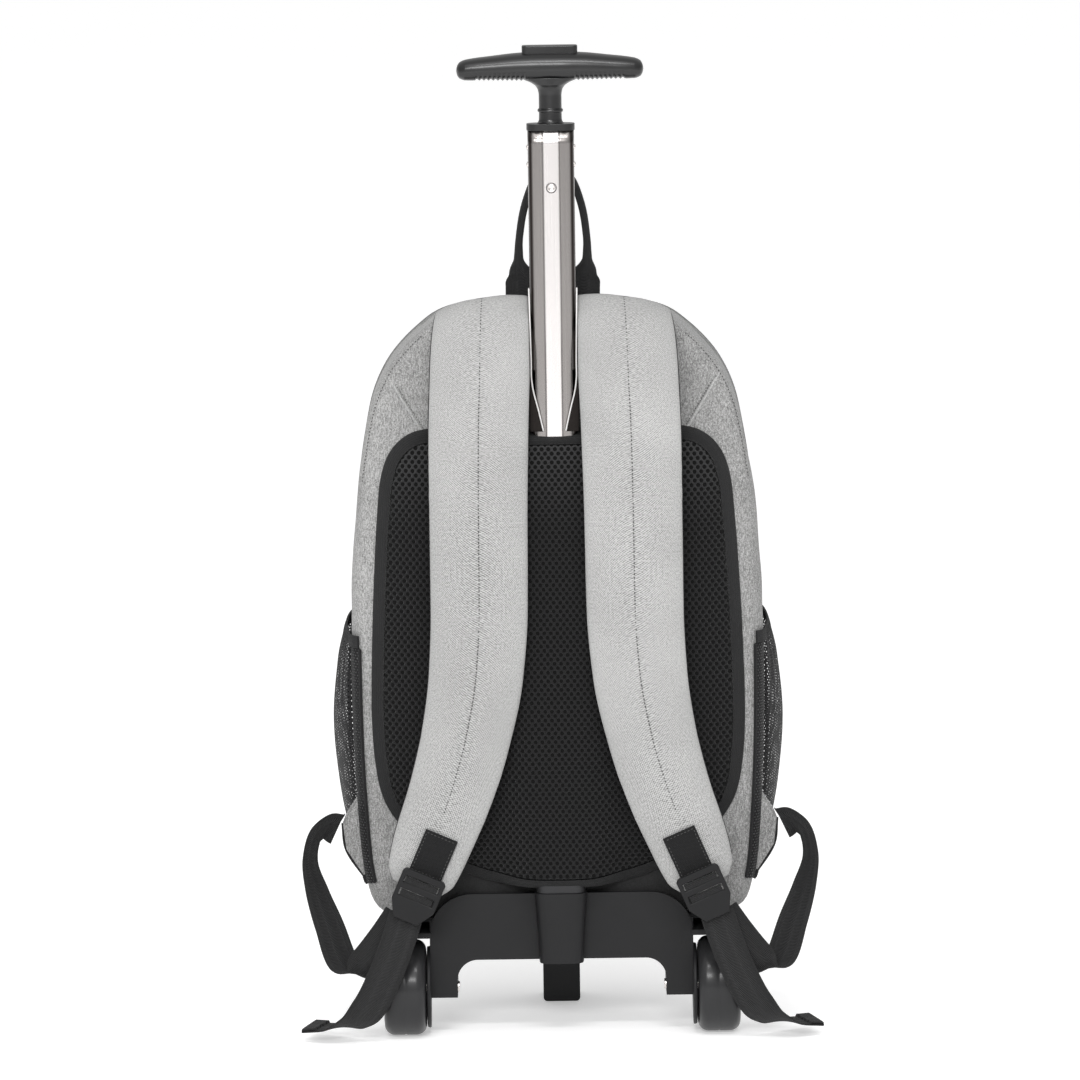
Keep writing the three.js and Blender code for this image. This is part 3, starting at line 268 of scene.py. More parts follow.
def spacerCloth(name, across=0.0048, down=0.0064, shade=(0.04, 0.04, 0.041)):
    # Rows of round holes, painted near-black as painted shade in their depth; the strands are painted
    # lighter near the top of the pad, a painted highlight where the rolled top catches the light.
    f = Finish(name, shade)
    x, _, z = f.split(f.place())
    near = holedLattice(f, x, z, across, down)
    solid = f.step(near, 0.26, 0.37)
    lint = f.speckle(f.place(), 1300.0, 3.0, 0.7)
    cord = ((x + z) * (2 * math.pi / 0.0008)).math("SINE") * 0.5 + 0.5
    # Painted highlight: the strands are painted lighter towards the top of the pad.
    paintedTopLight = f.step(z, 0.37, 0.45) * 1.1 + 0.62
    tone = solid * (lint * 0.7 + cord * 0.3) * paintedTopLight
    colour = f.mix(tone, (0.0012, 0.0012, 0.0012), shade)
    height = solid + cord * solid * 0.1
    normal = f.bump(height, 0.0016, 1.0)
    return f.wear(colour, 0.85, normal, Specular_IOR_Level=0.15, Sheen_Weight=0.06, Sheen_Roughness=0.4)


def netCloth(name, across=0.0029, down=0.0042, shade=(0.009, 0.009, 0.0094)):
    f = Finish(name, shade)
    u, v, _ = f.split(f.pattern())
    near = holedLattice(f, u, v, across, down)
    solid = f.step(near, 0.15, 0.22)
    lint = f.speckle(f.place(), 1500.0, 2.0, 0.7)
    colour = f.mix(lint, tuple(c * 0.5 for c in shade), tuple(c * 2.0 for c in shade))
    normal = f.bump(solid, 0.0005, 0.6)
    return f.wear(colour, 0.8, normal, Alpha=solid, Specular_IOR_Level=0.2, Sheen_Weight=0.05)


def mouldedPlastic(name, shade, rough, grain=1400.0, depth=0.00006, coat=0.0, gloss=0.2):
    f = Finish(name, shade)
    place = f.place()
    fine = f.speckle(place, grain, 2.0, 0.6)
    broad = f.speckle(place, 25.0, 3.0, 0.6)
    colour = f.mix(broad, tuple(c * 0.8 for c in shade), tuple(c * 1.25 for c in shade))
    roughness = broad * 0.14 + fine * 0.06 + (rough - 0.1)
    normal = f.bump(fine, depth, 0.6)
    return f.wear(
        colour, roughness, normal, Coat_Weight=coat, Coat_Roughness=0.18, Specular_IOR_Level=gloss
    )


# How far from the tube's middle its painted reflection bands begin and end: the painted dark fine line, the
# painted duller sloped side and the painted dark rounded edge.
tubeReflectionBands = {
    "lineFrom": (0.0053, 0.0059),
    "lineTo": (0.0061, 0.0068),
    "lineShare": 0.45,
    "side": (0.0044, 0.0064),
    "edgeFrom": (0.0128, 0.0146),
    "edgeTo": (0.016, 0.0166),
}


def reflectionPaintedSteel(name, bright, dull, dark):
    # Polished steel with its reflections painted into the colour across the tube: a painted bright middle
    # between two painted dark fine lines, painted duller sloped sides and painted dark rounded edges.
    f = Finish(name, bright)
    x, y, z = f.split(f.place())
    out = x.math("ABSOLUTE")
    streaks = f.speckle(f.vector(x * 1600.0, y * 900.0, z * 6.0), 1.0, 3.0, 0.6)
    line = f.step(out, *tubeReflectionBands["lineFrom"]) * (1 - f.step(out, *tubeReflectionBands["lineTo"]))
    line = line * tubeReflectionBands["lineShare"]
    side = f.step(out, *tubeReflectionBands["side"])
    edge = f.step(out, *tubeReflectionBands["edgeFrom"]) * (1 - f.step(out, *tubeReflectionBands["edgeTo"]))
    colour = f.mix(streaks, tuple(c * 0.9 for c in bright), bright)
    colour = f.mix(side, colour, f.mix(streaks, tuple(c * 0.8 for c in dull), dull))
    colour = f.mix(line, colour, dark)
    colour = f.mix(edge, colour, f.mix(streaks, dark, tuple(c * 3.0 for c in dark)))
    roughness = streaks * 0.12 + 0.2
    return f.wear(colour, roughness, f.bump(streaks, 0.00002, 0.35), Metallic=1.0, Anisotropic=0.3)


def brushedSteel(name, shade, rough=0.24):
    f = Finish(name, shade)
    x, y, z = f.split(f.place())
    streaks = f.speckle(f.vector(x * 900.0, y * 900.0, z * 5.0), 1.0, 3.0, 0.6)
    cloud = f.speckle(f.place(), 14.0, 3.0)
    colour = f.mix(streaks, tuple(c * 0.9 for c in shade), shade)
    roughness = streaks * 0.1 + cloud * 0.06 + (rough - 0.06)
    normal = f.bump(streaks, 0.00002, 0.35)
    return f.wear(colour, roughness, normal, Metallic=1.0, Anisotropic=0.4)


def plainCloth(name, shade, scale=900.0):
    f = Finish(name, shade)
    lint = f.speckle(f.place(), scale, 3.0, 0.7)
    colour = f.mix(lint, tuple(c * 0.5 for c in shade), tuple(c * 1.6 for c in shade))
    return f.wear(colour, 0.85, f.bump(lint, 0.0003, 0.6), Specular_IOR_Level=0.25, Sheen_Weight=0.04)


finishes = {
    "heather": heatherCloth("heather cloth with painted foot shade", (0.1, 0.0995, 0.098), (0.4, 0.398, 0.393)),
    "strap": strapCloth("strap cloth", (0.12, 0.1195, 0.118), (0.45, 0.449, 0.443)),
    "spacer": spacerCloth("spacer mesh, painted top light"),
    "binding": webbingCloth("woven binding", (0.014, 0.014, 0.0145), 0.0009, 0.003),
    "webbing": webbingCloth("webbing", (0.02, 0.02, 0.0205)),
    # The strap patches wear a darker copy of the webbing: painted shade.
    "patch": webbingCloth("webbing with painted shade", (0.01, 0.01, 0.0105)),
    "net": netCloth("pocket net"),
    "lining": plainCloth("dark lining", (0.009, 0.0065, 0.0055)),
    "threadGrey": plainCloth("grey thread", (0.22, 0.22, 0.215), 2500.0),
    "threadBlack": plainCloth("black thread", (0.02, 0.02, 0.0205), 2500.0),
    "threadDark": plainCloth("dark grey thread", (0.07, 0.07, 0.068), 2500.0),
    "piping": plainCloth("pale piping", (0.6, 0.59, 0.58), 2500.0),
    "zip": webbingCloth("zip tape", (0.27, 0.27, 0.266), 0.0008, 0.002),
    "buckle": mouldedPlastic("buckle plastic", (0.009, 0.009, 0.0095), 0.42, 1800.0, 0.00004),
    "chassis": mouldedPlastic("chassis plastic", (0.0115, 0.0115, 0.0122), 0.46),
    "grip": mouldedPlastic("grip plastic", (0.007, 0.007, 0.0073), 0.3, 1600.0, 0.00003, 0.1, 0.42),
    "steel": brushedSteel("brushed steel", (0.8, 0.76, 0.74)),
    # Steel whose bright middle, dull sides and dark edges are painted reflections.
    "reflectionPaintedSteel": reflectionPaintedSteel(
        "polished tube steel, painted reflections", (0.82, 0.785, 0.775), (0.33, 0.31, 0.3), (0.014, 0.011, 0.01)
    ),
    "sleeve": brushedSteel("dark sleeve metal", (0.05, 0.05, 0.052), 0.4),
    "tyre": mouldedPlastic("wheel rubber", (0.02, 0.02, 0.021), 0.36, 700.0, 0.00003, 0.2),
    "hub": mouldedPlastic("wheel plastic", (0.014, 0.014, 0.0145), 0.28, 900.0, 0.00003, 0.2),
}
print("finishes made:", len(finishes))


# Shapes
def curveThrough(points):
    # A smooth reading of a short table, which doesn't overshoot.
    xs = np.array([p[0] for p in points], float)
    ys = np.array([p[1] for p in points], float)
    slope = np.diff(ys) / np.diff(xs)
    bend = np.zeros(len(xs))
    bend[0], bend[-1] = slope[0], slope[-1]
    before, after = slope[:-1], slope[1:]
    same = before * after > 0
    bend[1:-1][same] = 2 * before[same] * after[same] / (before[same] + after[same])

    def read(at):
        at = np.clip(at, xs[0], xs[-1])
        i = np.clip(np.searchsorted(xs, at, side="right") - 1, 0, len(xs) - 2)
        span = xs[i + 1] - xs[i]
        t = (at - xs[i]) / span
        s = 1 - t
        value = ys[i] * s * s * (1 + 2 * t) + ys[i + 1] * t * t * (1 + 2 * s)
        return value + bend[i] * span * t * s * s - bend[i + 1] * span * t * t * s

    return read


class Track:
    # A smooth line through points, read by its share of length.
    def __init__(self, points, closed=False, samples=24):
        p = np.array(points, float)
        n = len(p)
        line = []
        for i in range(n if closed else n - 1):
            p1, p2 = p[i % n], p[(i + 1) % n]
            p0 = p[i - 1] if closed or i else 2 * p1 - p2
            p3 = p[(i + 2) % n] if closed or i + 2 < n else 2 * p2 - p1
            gaps = [np.linalg.norm(b - a) ** 0.5 for a, b in ((p0, p1), (p1, p2), (p2, p3))]
            leave = ((p1 - p0) / gaps[0] - (p2 - p0) / (gaps[0] + gaps[1]) + (p2 - p1) / gaps[1]) * gaps[1]
            reach = ((p2 - p1) / gaps[1] - (p3 - p1) / (gaps[1] + gaps[2]) + (p3 - p2) / gaps[2]) * gaps[1]
            for t in np.arange(samples) / samples:
                s = 1 - t
                point = p1 * s * s * (1 + 2 * t) + p2 * t * t * (1 + 2 * s)
                line.append(point + leave * t * s * s - reach * t * t * s)
        line.append(p[0] if closed else p[-1])
        self.line = np.array(line)
        steps = np.linalg.norm(np.diff(self.line, axis=0), axis=1)
        self.travel = np.concatenate(([0], np.cumsum(steps)))
        self.length = self.travel[-1]
        self.closed = closed

    def at(self, share):
        share = np.mod(share, 1) if self.closed else np.clip(share, 0, 1)
        where = np.asarray(share) * self.length
        return np.stack([np.interp(where, self.travel, self.line[:, k]) for k in range(3)], axis=-1)

    def run(self, share, step=0.002):
        ahead, behind = np.asarray(share) + step, np.asarray(share) - step
        way = self.at(ahead) - self.at(behind)
        return way / np.linalg.norm(way, axis=-1, keepdims=True)


def unit(vectors):
    return vectors / np.maximum(np.linalg.norm(vectors, axis=-1, keepdims=True), 1e-12)


def shapedGrid(place, across, along, size, closed=False, flip=False):
    # A grid bent to place(u, v), with a pattern map in metres.
    bm = bmesh.new()
    layer = bm.loops.layers.uv.new("cloth")
    bmesh.ops.create_grid(bm, x_segments=across, y_segments=along, size=0.5)
    flat = np.array([v.co[:] for v in bm.verts]) + 0.5
    for face in bm.faces:
        for loop in face.loops:
            co = loop.vert.co
            loop[layer].uv = ((co.x + 0.5) * size[0], (co.y + 0.5) * size[1])
    for vert, co in zip(bm.verts, place(flat[:, 0], flat[:, 1])):
        vert.co = co
    if closed:
        bmesh.ops.remove_doubles(bm, verts=bm.verts, dist=1e-6)
        bmesh.ops.recalc_face_normals(bm, faces=bm.faces)
    elif flip:
        bmesh.ops.reverse_faces(bm, faces=bm.faces)
    bm.normal_update()
    return bm


def turnPattern(bm):
    # The cloth's pattern runs along the piece where it ran across it.
    layer = bm.loops.layers.uv["cloth"]
    for face in bm.faces:
        for loop in face.loops:
            u, v = loop[layer].uv
            loop[layer].uv = (v, u)


def flatPattern(bm):
    # The cloth's pattern as it lies on a piece that faces the back.
    layer = bm.loops.layers.uv["cloth"]
    for face in bm.faces:
        for loop in face.loops:
            loop[layer].uv = (loop.vert.co.x, loop.vert.co.z)


def squared(wave, power):
    # A sine or cosine made blunter, for a section between round and square.
    return np.sign(wave) * np.abs(wave) ** power


def drawnIn(v, reach):
    # Nothing at both ends and 1 between them: closes a piece round its ends.
    return np.minimum(1, np.minimum(v, 1 - v) / reach)


def rowCurves(rows, columns):
    return [curveThrough([(row[0], row[k]) for row in rows]) for k in columns]


def rollingNoise(co, scale, seed=0.0):
    return noise.noise(Vector((co[0] * scale + seed, co[1] * scale + seed * 0.7, co[2] * scale)))


def nudge(bm, height):
    bm.normal_update()
    moves = [(v, v.normal * height(v)) for v in bm.verts]
    for vert, move in moves:
        vert.co += move
    bm.normal_update()


def finished(name, bm, finish, body="pack", replaced=()):
    mesh = bpy.data.meshes.new(name)
    bm.to_mesh(mesh)
    bm.free()
    for face in mesh.polygons:
        face.use_smooth = True
    mesh.materials.append(finishes[finish])
    piece = bpy.data.objects.new(name, mesh)
    bpy.context.scene.collection.objects.link(piece)
    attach(piece, body)
    if replaced:
        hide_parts(*replaced)
    return piece


def thicken(piece, wall):
    solidify = piece.modifiers.new("wall", "SOLIDIFY")
    solidify.thickness = wall
    solidify.offset = -1.0
    return piece


def soften(piece, width, segments=2, angle=35.0):
    bevel = piece.modifiers.new("edges", "BEVEL")
    bevel.width = width
    bevel.segments = segments
    bevel.limit_method = "ANGLE"
    bevel.angle_limit = math.radians(angle)
    bevel.harden_normals = False
    return piece


def mirrorTurned(bm):
    # The same shape on the other side of X = 0, with its faces turned to point out again.
    for vert in bm.verts:
        vert.co.x = -vert.co.x
    bmesh.ops.reverse_faces(bm, faces=bm.faces)
    return bm


def pair(name, make, finish, replaced=(), body="pack", done=lambda piece: piece):
    made = []
    for side in ("right", "left"):
        bm = make()
        if side == "left":
            mirrorTurned(bm)
        names = [f"{node}_{side}" for node in replaced]
        rides = f"{body}_{side}" if body == "wheel" else body
        made.append(done(finished(f"{name}_{side}", bm, finish, rides, names)))
    return made


def stitched(line, outward, pitch=0.0034, long=0.0024, thick=0.00035):
    # A row of thread stitches along a line of points, each a small bead.
    bm = bmesh.new()
    track = line if isinstance(line, Track) else Track(line)
    count = max(2, int(track.length / pitch))
    shares = (np.arange(count) + 0.5) / count
    runs = track.run(shares)
    for share, at, way in zip(shares, track.at(shares), runs):
        out = Vector(outward(share) if callable(outward) else outward).normalized()
        way = Vector(way)
        side = out.cross(way).normalized()
        turn = Matrix((way, side, out)).transposed().to_4x4()
        grow = Matrix.Diagonal((long / 2, thick, thick, 1))
        place = Matrix.Translation(Vector(at) + out * thick * 0.4) @ turn @ grow
        bmesh.ops.create_icosphere(bm, subdivisions=1, radius=1, matrix=place)
    return bm


def closeEnds(bm):
    openEdges = [edge for edge in bm.edges if edge.is_boundary]
    if openEdges:
        bmesh.ops.holes_fill(bm, edges=openEdges, sides=0)
    bmesh.ops.recalc_face_normals(bm, faces=bm.faces)


def raised(bm, corners, wall):
    # A flat piece of a drawn outline, thickened towards +Y.
    face = bm.faces.new([bm.verts.new(corner) for corner in corners])
    grown = bmesh.ops.extrude_face_region(bm, geom=[face])
    for vert in (g for g in grown["geom"] if isinstance(g, bmesh.types.BMVert)):
        vert.co.y += wall


def rounded(bm, edges, width):
    bmesh.ops.bevel(bm, geom=edges, offset=width, affect="EDGES", segments=2, profile=0.5, material=-1)


def swept(points, radius, around=10, along=120):
    # A round cord along a smooth line.
    track = Track(points)

    def place(u, v):
        run = track.run(v)
        side = unit(np.cross(run, np.array([0.0, 1.0, 0.02])))
        up = np.cross(side, run)
        turn = u * 2 * math.pi
        close = drawnIn(v, 0.004) ** 0.5
        ring = side * np.cos(turn)[:, None] + up * np.sin(turn)[:, None]
        return track.at(v) + ring * (radius * close)[:, None]

    return shapedGrid(place, around, along, (2 * math.pi * radius, track.length), closed=True)


# Bag: one lofted shell from the middle of its back, round its gusset, to the middle of its front.
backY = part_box("back_pad")[1].y + 0.0006
bag = {
    "half": 0.15,
    "height": 0.45,
    "bottom": 0.088,
    "depth": 0.18,
    "seamInset": 0.026,
    "crown": 0.009,
    "zipAt": 0.7,
    "zipWide": 0.011,
    "zipLift": 0.0006,
    "zipRidge": 0.0012,
    "zipStitchAt": 2.1,
    "wrinkle": 0.0016,
    "backShare": 0.18,
    "frontShare": 0.82,
    "middle": 0.48,
    "grid": (260, 120),
    "frontSmoothing": 40,
    "outline": [
        (0, 0), (0.4, 0), (0.7, 0), (0.82, 0.001), (0.89, 0.013), (0.94, 0.05), (0.985, 0.2),
        (1, 0.38), (0.993, 0.55), (0.966, 0.68), (0.928, 0.768), (0.882, 0.839), (0.82, 0.8865),
        (0.754, 0.9185), (0.654, 0.953), (0.558, 0.977), (0.4, 0.993), (0.2, 1), (0, 1),
    ],
    "dart": [(0.1205, 0.0035, 0.4865), (0.116, 0.0004, 0.4795), (0.105, 0, 0.461), (0.094, 0, 0.443)],
    "dartWide": 0.0011,
    "seamDeep": 0.026,
    "seamShares": (0.335, 0.425),
    "deep": [(0, 0.84), (0.1, 0.95), (0.3, 1), (0.55, 0.97), (0.75, 0.86), (0.88, 0.68), (1, 0.44)],
    "inset": [
        (0, 0.27), (0.03, 0.09), (0.08, 0), (0.5, 0), (0.68, 0.06), (0.82, 0.22), (0.92, 0.5), (1, 1),
    ],
}


def loopOf(rows, half, low, height):
    right = [(wide * half, 0, low + high * height) for wide, high in rows]
    left = [(-x, y, z) for x, y, z in reversed(right[1:-1])]
    return Track(right + left, closed=True)


bagLoop = loopOf(bag["outline"], bag["half"], bag["bottom"], bag["height"])
bagDeepAt = curveThrough(bag["deep"])
bagInsetAt = curveThrough(bag["inset"])
bagMiddle = bag["bottom"] + bag["height"] * bag["middle"]


def insetLoop(loop, share, inset):
    point = loop.at(share)
    run = loop.run(share)
    x, z = point[:, 0] - run[:, 2] * inset, point[:, 2] + run[:, 0] * inset
    return np.stack([x, 0 * inset, z], axis=-1)


def bagPoint(share, deep):
    point = insetLoop(bagLoop, share, bagInsetAt(deep) * bag["seamInset"])
    high = (bagLoop.at(share)[:, 2] - bag["bottom"]) / bag["height"]
    point[:, 1] = backY + deep * bag["depth"] * bagDeepAt(high)
    return point


def bagShellPoint(u, v):
    back, front = bag["backShare"], bag["frontShare"]
    deep = np.clip((v - back) / (front - back), 0, 1)
    point = bagPoint(u, deep)
    size = np.where(v < back, v / back, np.where(v > front, (1 - v) / (1 - front), 1.0))
    point[:, 0] *= size
    point[:, 2] = bagMiddle + (point[:, 2] - bagMiddle) * size
    seamZ = bagMiddle + (bagLoop.at(u)[:, 2] - bagMiddle) * size
    flat = bag["depth"] * bagDeepAt((seamZ - bag["bottom"]) / bag["height"])
    crown = bag["crown"] * (1 - size * size)
    point[:, 1] = np.where(v > front, backY + flat + crown, point[:, 1])
    return point


def bagWrinkle(vert):
    co = vert.co
    deep = (co.y - backY) / bag["depth"]
    facingBack = max(0.0, -vert.normal.y)
    free = 1 - min(1.0, facingBack * 1.6)
    seams = min(1.0, abs(deep - bag["zipAt"] * 0.96) / 0.07)
    broad = rollingNoise(co, 14.0, 3.0) * bag["wrinkle"]
    folds = rollingNoise((co.x * 2.2, co.y, co.z * 0.8), 42.0, 9.0) * bag["wrinkle"] * 0.45
    return (broad + folds) * free * seams + rollingNoise(co, 30.0, 5.0) * 0.0003 * (1 - free)


def addBag():
    bm = shapedGrid(bagShellPoint, *bag["grid"], (bagLoop.length, 0.66), closed=True)
    front = [vert for vert in bm.verts if vert.normal.y > 0.6]
    for _ in range(bag["frontSmoothing"]):
        bmesh.ops.smooth_vert(bm, verts=front, factor=0.5, use_axis_y=True)
    nudge(bm, bagWrinkle)
    names = ("rear_gusset", "front_gusset", "bottom_panel", "back_panel", "front_panel")
    finished("bagShell", bm, "heather", replaced=names)

    zipHalf = bag["zipWide"] / 2 / bag["depth"]

    def tape(u, v):
        point = bagPoint(u, bag["zipAt"] + (v - 0.5) * 2 * zipHalf)
        run = bagLoop.run(u)
        lift = bag["zipLift"] + bag["zipRidge"] * np.exp(-(((v - 0.5) / 0.17) ** 2))
        point[:, 0] += run[:, 2] * lift
        point[:, 2] -= run[:, 0] * lift
        return point

    bm = shapedGrid(tape, 300, 10, (bagLoop.length, bag["zipWide"]))
    bmesh.ops.remove_doubles(bm, verts=bm.verts, dist=1e-6)
    thicken(finished("zipTape", bm, "zip", replaced=["zip_tape"]), 0.0012)

    away = bag["zipStitchAt"] * zipHalf
    for name, deep in (("Back", bag["zipAt"] - away), ("Front", bag["zipAt"] + away)):
        shares = np.linspace(0, 1, 220)
        line = bagPoint(shares, 0 * shares + deep)
        middle = line.mean(axis=0)
        track = Track(line, samples=2)
        bm = stitched(track, lambda s, t=track, m=middle: t.at(s) - m, 0.0036)
        finished(f"zipStitch{name}", bm, "threadGrey")

    def dart(shift=0.0, lift=0.0):
        return [(x - shift, backY + deep - lift, z) for x, deep, z in bag["dart"]]

    pair("bagDart", lambda: swept(dart(), bag["dartWide"], 8, 40), "strap")

    def dartStitch():
        return stitched(Track(dart(0.0022, 0.0003)), (0, -1, 0), 0.0021, 0.0012, 0.0004)

    pair("dartStitch", dartStitch, "threadDark")

    def seam():
        shares = np.linspace(*bag["seamShares"], 60)
        line = bagPoint(shares, 0 * shares + bag["seamDeep"])
        line[:, 1] -= 0.0003
        return stitched(Track(line, samples=2), (0.4, -1, 0.3), 0.0026, 0.0014, 0.00045)

    pair("shoulderSeam", seam, "threadDark")


addBag()
print("bag shell and zip made")


# Back pad with its binding
pad = {
    "half": 0.136,
    "top": 0.4475,
    "height": 0.338,
    "edge": 0.009,
    "thick": 0.02,
    "hump": 0.0254,
    "binding": 0.009,
    "humpReach": 0.030,
    "channel": 0.0202,
    "rim": 0.12,
    "outline": [
        (0, 0), (0.33, 0.01), (0.55, 0.04), (0.76, 0.1), (0.9, 0.163), (0.955, 0.21), (0.985, 0.275),
        (1, 0.37), (0.995, 0.5), (0.98, 0.65), (0.955, 0.81), (0.93, 0.9), (0.885, 0.95), (0.81, 0.983),
        (0.71, 1), (0.35, 1), (0, 1),
    ],
    "puff": [(0, 1), (0.55, 0.97), (0.8, 0.9), (0.93, 0.7), (1, 0.45)],
}
padBack = backY - 0.0006
padLow = pad["top"] - pad["height"]
padLoop = loopOf(pad["outline"], pad["half"], padLow, pad["height"])
padPuffAt = curveThrough(pad["puff"])
padMiddle = padLow + pad["height"] / 2


def humpAt(x):
    out = np.clip((np.abs(x) - pad["channel"]) / pad["humpReach"], 0, 1)
    return (1 + np.cos(out * math.pi)) / 2


def padPoint(u, v):
    # v from the back edge at 0, over the rolled rim, to the middle of the front at 1.
    onRim = v < pad["rim"]
    edge = np.clip(v / pad["rim"], 0, 1)
    size = np.where(onRim, 1.0, (1 - v) / (1 - pad["rim"]))
    rim = insetLoop(padLoop, u, pad["binding"] + 0.0003 + 0 * u)
    x = rim[:, 0] * size
    z = padMiddle + (rim[:, 2] - padMiddle) * size
    plain = pad["thick"] * padPuffAt(size)
    plain = np.where(onRim, plain * edge, plain)
    full = plain + humpAt(x) * (pad["hump"] - plain) * np.where(onRim, edge, 1)
    return np.stack([x, padBack - full, z], axis=-1)


def bindingPoint(u, v):
    turn = v * math.pi
    inset = pad["binding"] * (0.5 - 0.5 * np.cos(turn)) - 0.0002
    rise = np.sin(np.clip(v * 1.35, 0, 1) * math.pi / 2)
    point = insetLoop(padLoop, u, inset)
    thick = pad["edge"] * (0.5 + 0.5 * v) * rise
    hump = humpAt(point[:, 0]) * (pad["hump"] - thick) * rise
    point[:, 1] = padBack - thick - hump
    return point


def addPad():
    bm = shapedGrid(padPoint, 220, 90, (padLoop.length, 0.15), flip=True)
    bmesh.ops.remove_doubles(bm, verts=bm.verts, dist=1e-6)
    flatPattern(bm)
    piece = finished("backPad", bm, "spacer", replaced=["back_pad"])
    bm = shapedGrid(bindingPoint, 220, 10, (padLoop.length, pad["binding"] * 1.6), flip=True)
    bmesh.ops.remove_doubles(bm, verts=bm.verts, dist=1e-6)
    finished("padBinding", bm, "binding", replaced=["pad_binding"])
    shares = np.linspace(0, 1, 200)
    inner = bindingPoint(shares, 0 * shares + 0.86)
    bm = stitched(Track(inner, samples=2), (0, -1, 0), 0.003)
    finished("padStitch", bm, "threadBlack")


addPad()
print("back pad made")


# Shoulder straps
strap = {
    "wide": 0.072,
    "thick": 0.012,
    "spread": 0.055,
    "stand": 0.034,
    "groove": 0.26,
    "valley": 0.13,
    "ripple": 0.07,
    "pucker": 0.0005,
    "stitches": 92,
    "uneven": (1.7, 61),
    "valleyReach": 0.3,
    "grooveReach": 0.075,
    "rippleAt": 0.16,
    "rippleReach": 0.12,
    "grid": (80, 460),
    "edges": [(-0.985, 0.02), (1.004, 0.011)],
    "mid": [
        (0, 0.935), (0.05, 0.935), (0.1, 0.945), (0.16, 0.96), (0.24, 0.975), (0.34, 1), (0.46, 1.015),
        (0.6, 1.025), (0.7, 1.08), (0.79, 1.22), (0.87, 1.43), (0.94, 1.69), (0.98, 1.84), (1, 1.92),
    ],
    "out": [
        (0, -0.32), (0.05, 0.03), (0.1, 0.38), (0.16, 0.69), (0.24, 0.88), (0.34, 0.97), (0.46, 1), (1, 1),
    ],
    "high": [
        (0, 1.008), (0.05, 1.0087), (0.1, 0.9911), (0.16, 0.9511), (0.24, 0.8867), (0.34, 0.8044),
        (0.46, 0.6822), (0.6, 0.5156), (0.7, 0.4089), (0.79, 0.3111), (0.87, 0.22), (0.94, 0.1356),
        (0.98, 0.0844), (1, 0.0578),
    ],
    "width": [
        (0, 0.93), (0.05, 0.93), (0.1, 0.95), (0.16, 0.98), (0.24, 1), (0.34, 1), (0.46, 0.985),
        (0.6, 0.975), (0.7, 0.95), (0.79, 0.9), (0.87, 0.85), (0.94, 0.79), (0.98, 0.7), (1, 0.46),
    ],
    "fill": [
        (0, 0.42), (0.05, 0.5), (0.1, 0.66), (0.16, 0.82), (0.24, 0.95), (0.34, 1), (0.94, 1), (0.98, 0.95),
        (1, 0.75),
    ],
    "arch": [(0, 1), (0.05, 1), (0.1, 0.7), (0.16, 0.3), (0.24, 0), (1, 0)],
}
strapRead = {key: curveThrough(strap[key]) for key in ("mid", "out", "high", "width", "fill", "arch")}
topRows = sorted((wide * bag["half"], (1 - high) * bag["height"]) for wide, high in bag["outline"][11:-1])
topDrop = curveThrough([(0, 0)] + topRows)


def strapMiddle(t):
    x = strapRead["mid"](t) * strap["spread"]
    y = backY - strapRead["out"](t) * strap["stand"]
    return np.stack([x, y, bag["bottom"] + strapRead["high"](t) * bag["height"]], axis=-1)


def strapFrame(t):
    run = unit(strapMiddle(np.clip(t + 0.004, 0, 1)) - strapMiddle(np.clip(t - 0.004, 0, 1)))
    face = unit(np.cross(run, np.array([1.0, 0, 0])))
    return run, face, unit(np.cross(face, run))


def strapFace(t, across, lift):
    # A place on the strap: across from -1 to 1, lift out of its middle in half thicknesses.
    _, face, side = strapFrame(t)
    point = strapMiddle(t)
    point += side * (across * strapRead["width"](t) * strap["wide"] / 2)[:, None]
    point += face * (lift * strapRead["fill"](t) * strap["thick"] / 2)[:, None]
    point[:, 2] -= strapRead["arch"](t) * topDrop(np.abs(point[:, 0]))
    return point


def strapPoint(u, v):
    turn = u * 2 * math.pi
    across = squared(np.cos(turn), 0.8)
    rise = np.abs(np.sin(turn)) ** 0.42
    # The sewn middle line draws the cloth in, a little more at each stitch.
    sway, swayRate = strap["uneven"]
    drawn = np.sin(v * 2 * math.pi * strap["stitches"] + sway * np.sin(v * swayRate)) * 0.5 + 0.5
    valley = np.exp(-((across / strap["valleyReach"]) ** 2)) * strap["valley"]
    crease = np.exp(-((across / strap["grooveReach"]) ** 2)) * strap["groove"] * (0.65 + 0.35 * drawn)
    beside = (np.abs(across) - strap["rippleAt"]) / strap["rippleReach"]
    ripple = np.exp(-beside ** 2) * strap["ripple"] * (drawn - 0.5)
    crease = 1 - valley - crease - ripple
    lift = np.where(np.sin(turn) > 0, rise * crease, -rise)
    close = drawnIn(v, 0.004) ** 0.5
    return strapFace(v, across * (0.02 + 0.98 * close), lift * close)


def strapPucker(vert):
    if vert.normal.y > -0.3:
        return 0.0
    co = vert.co
    fine = rollingNoise((co.x, co.y, co.z * 1.6), 55.0, 2.0) * strap["pucker"]
    return fine + rollingNoise(co, 18.0, 6.0) * 0.0006


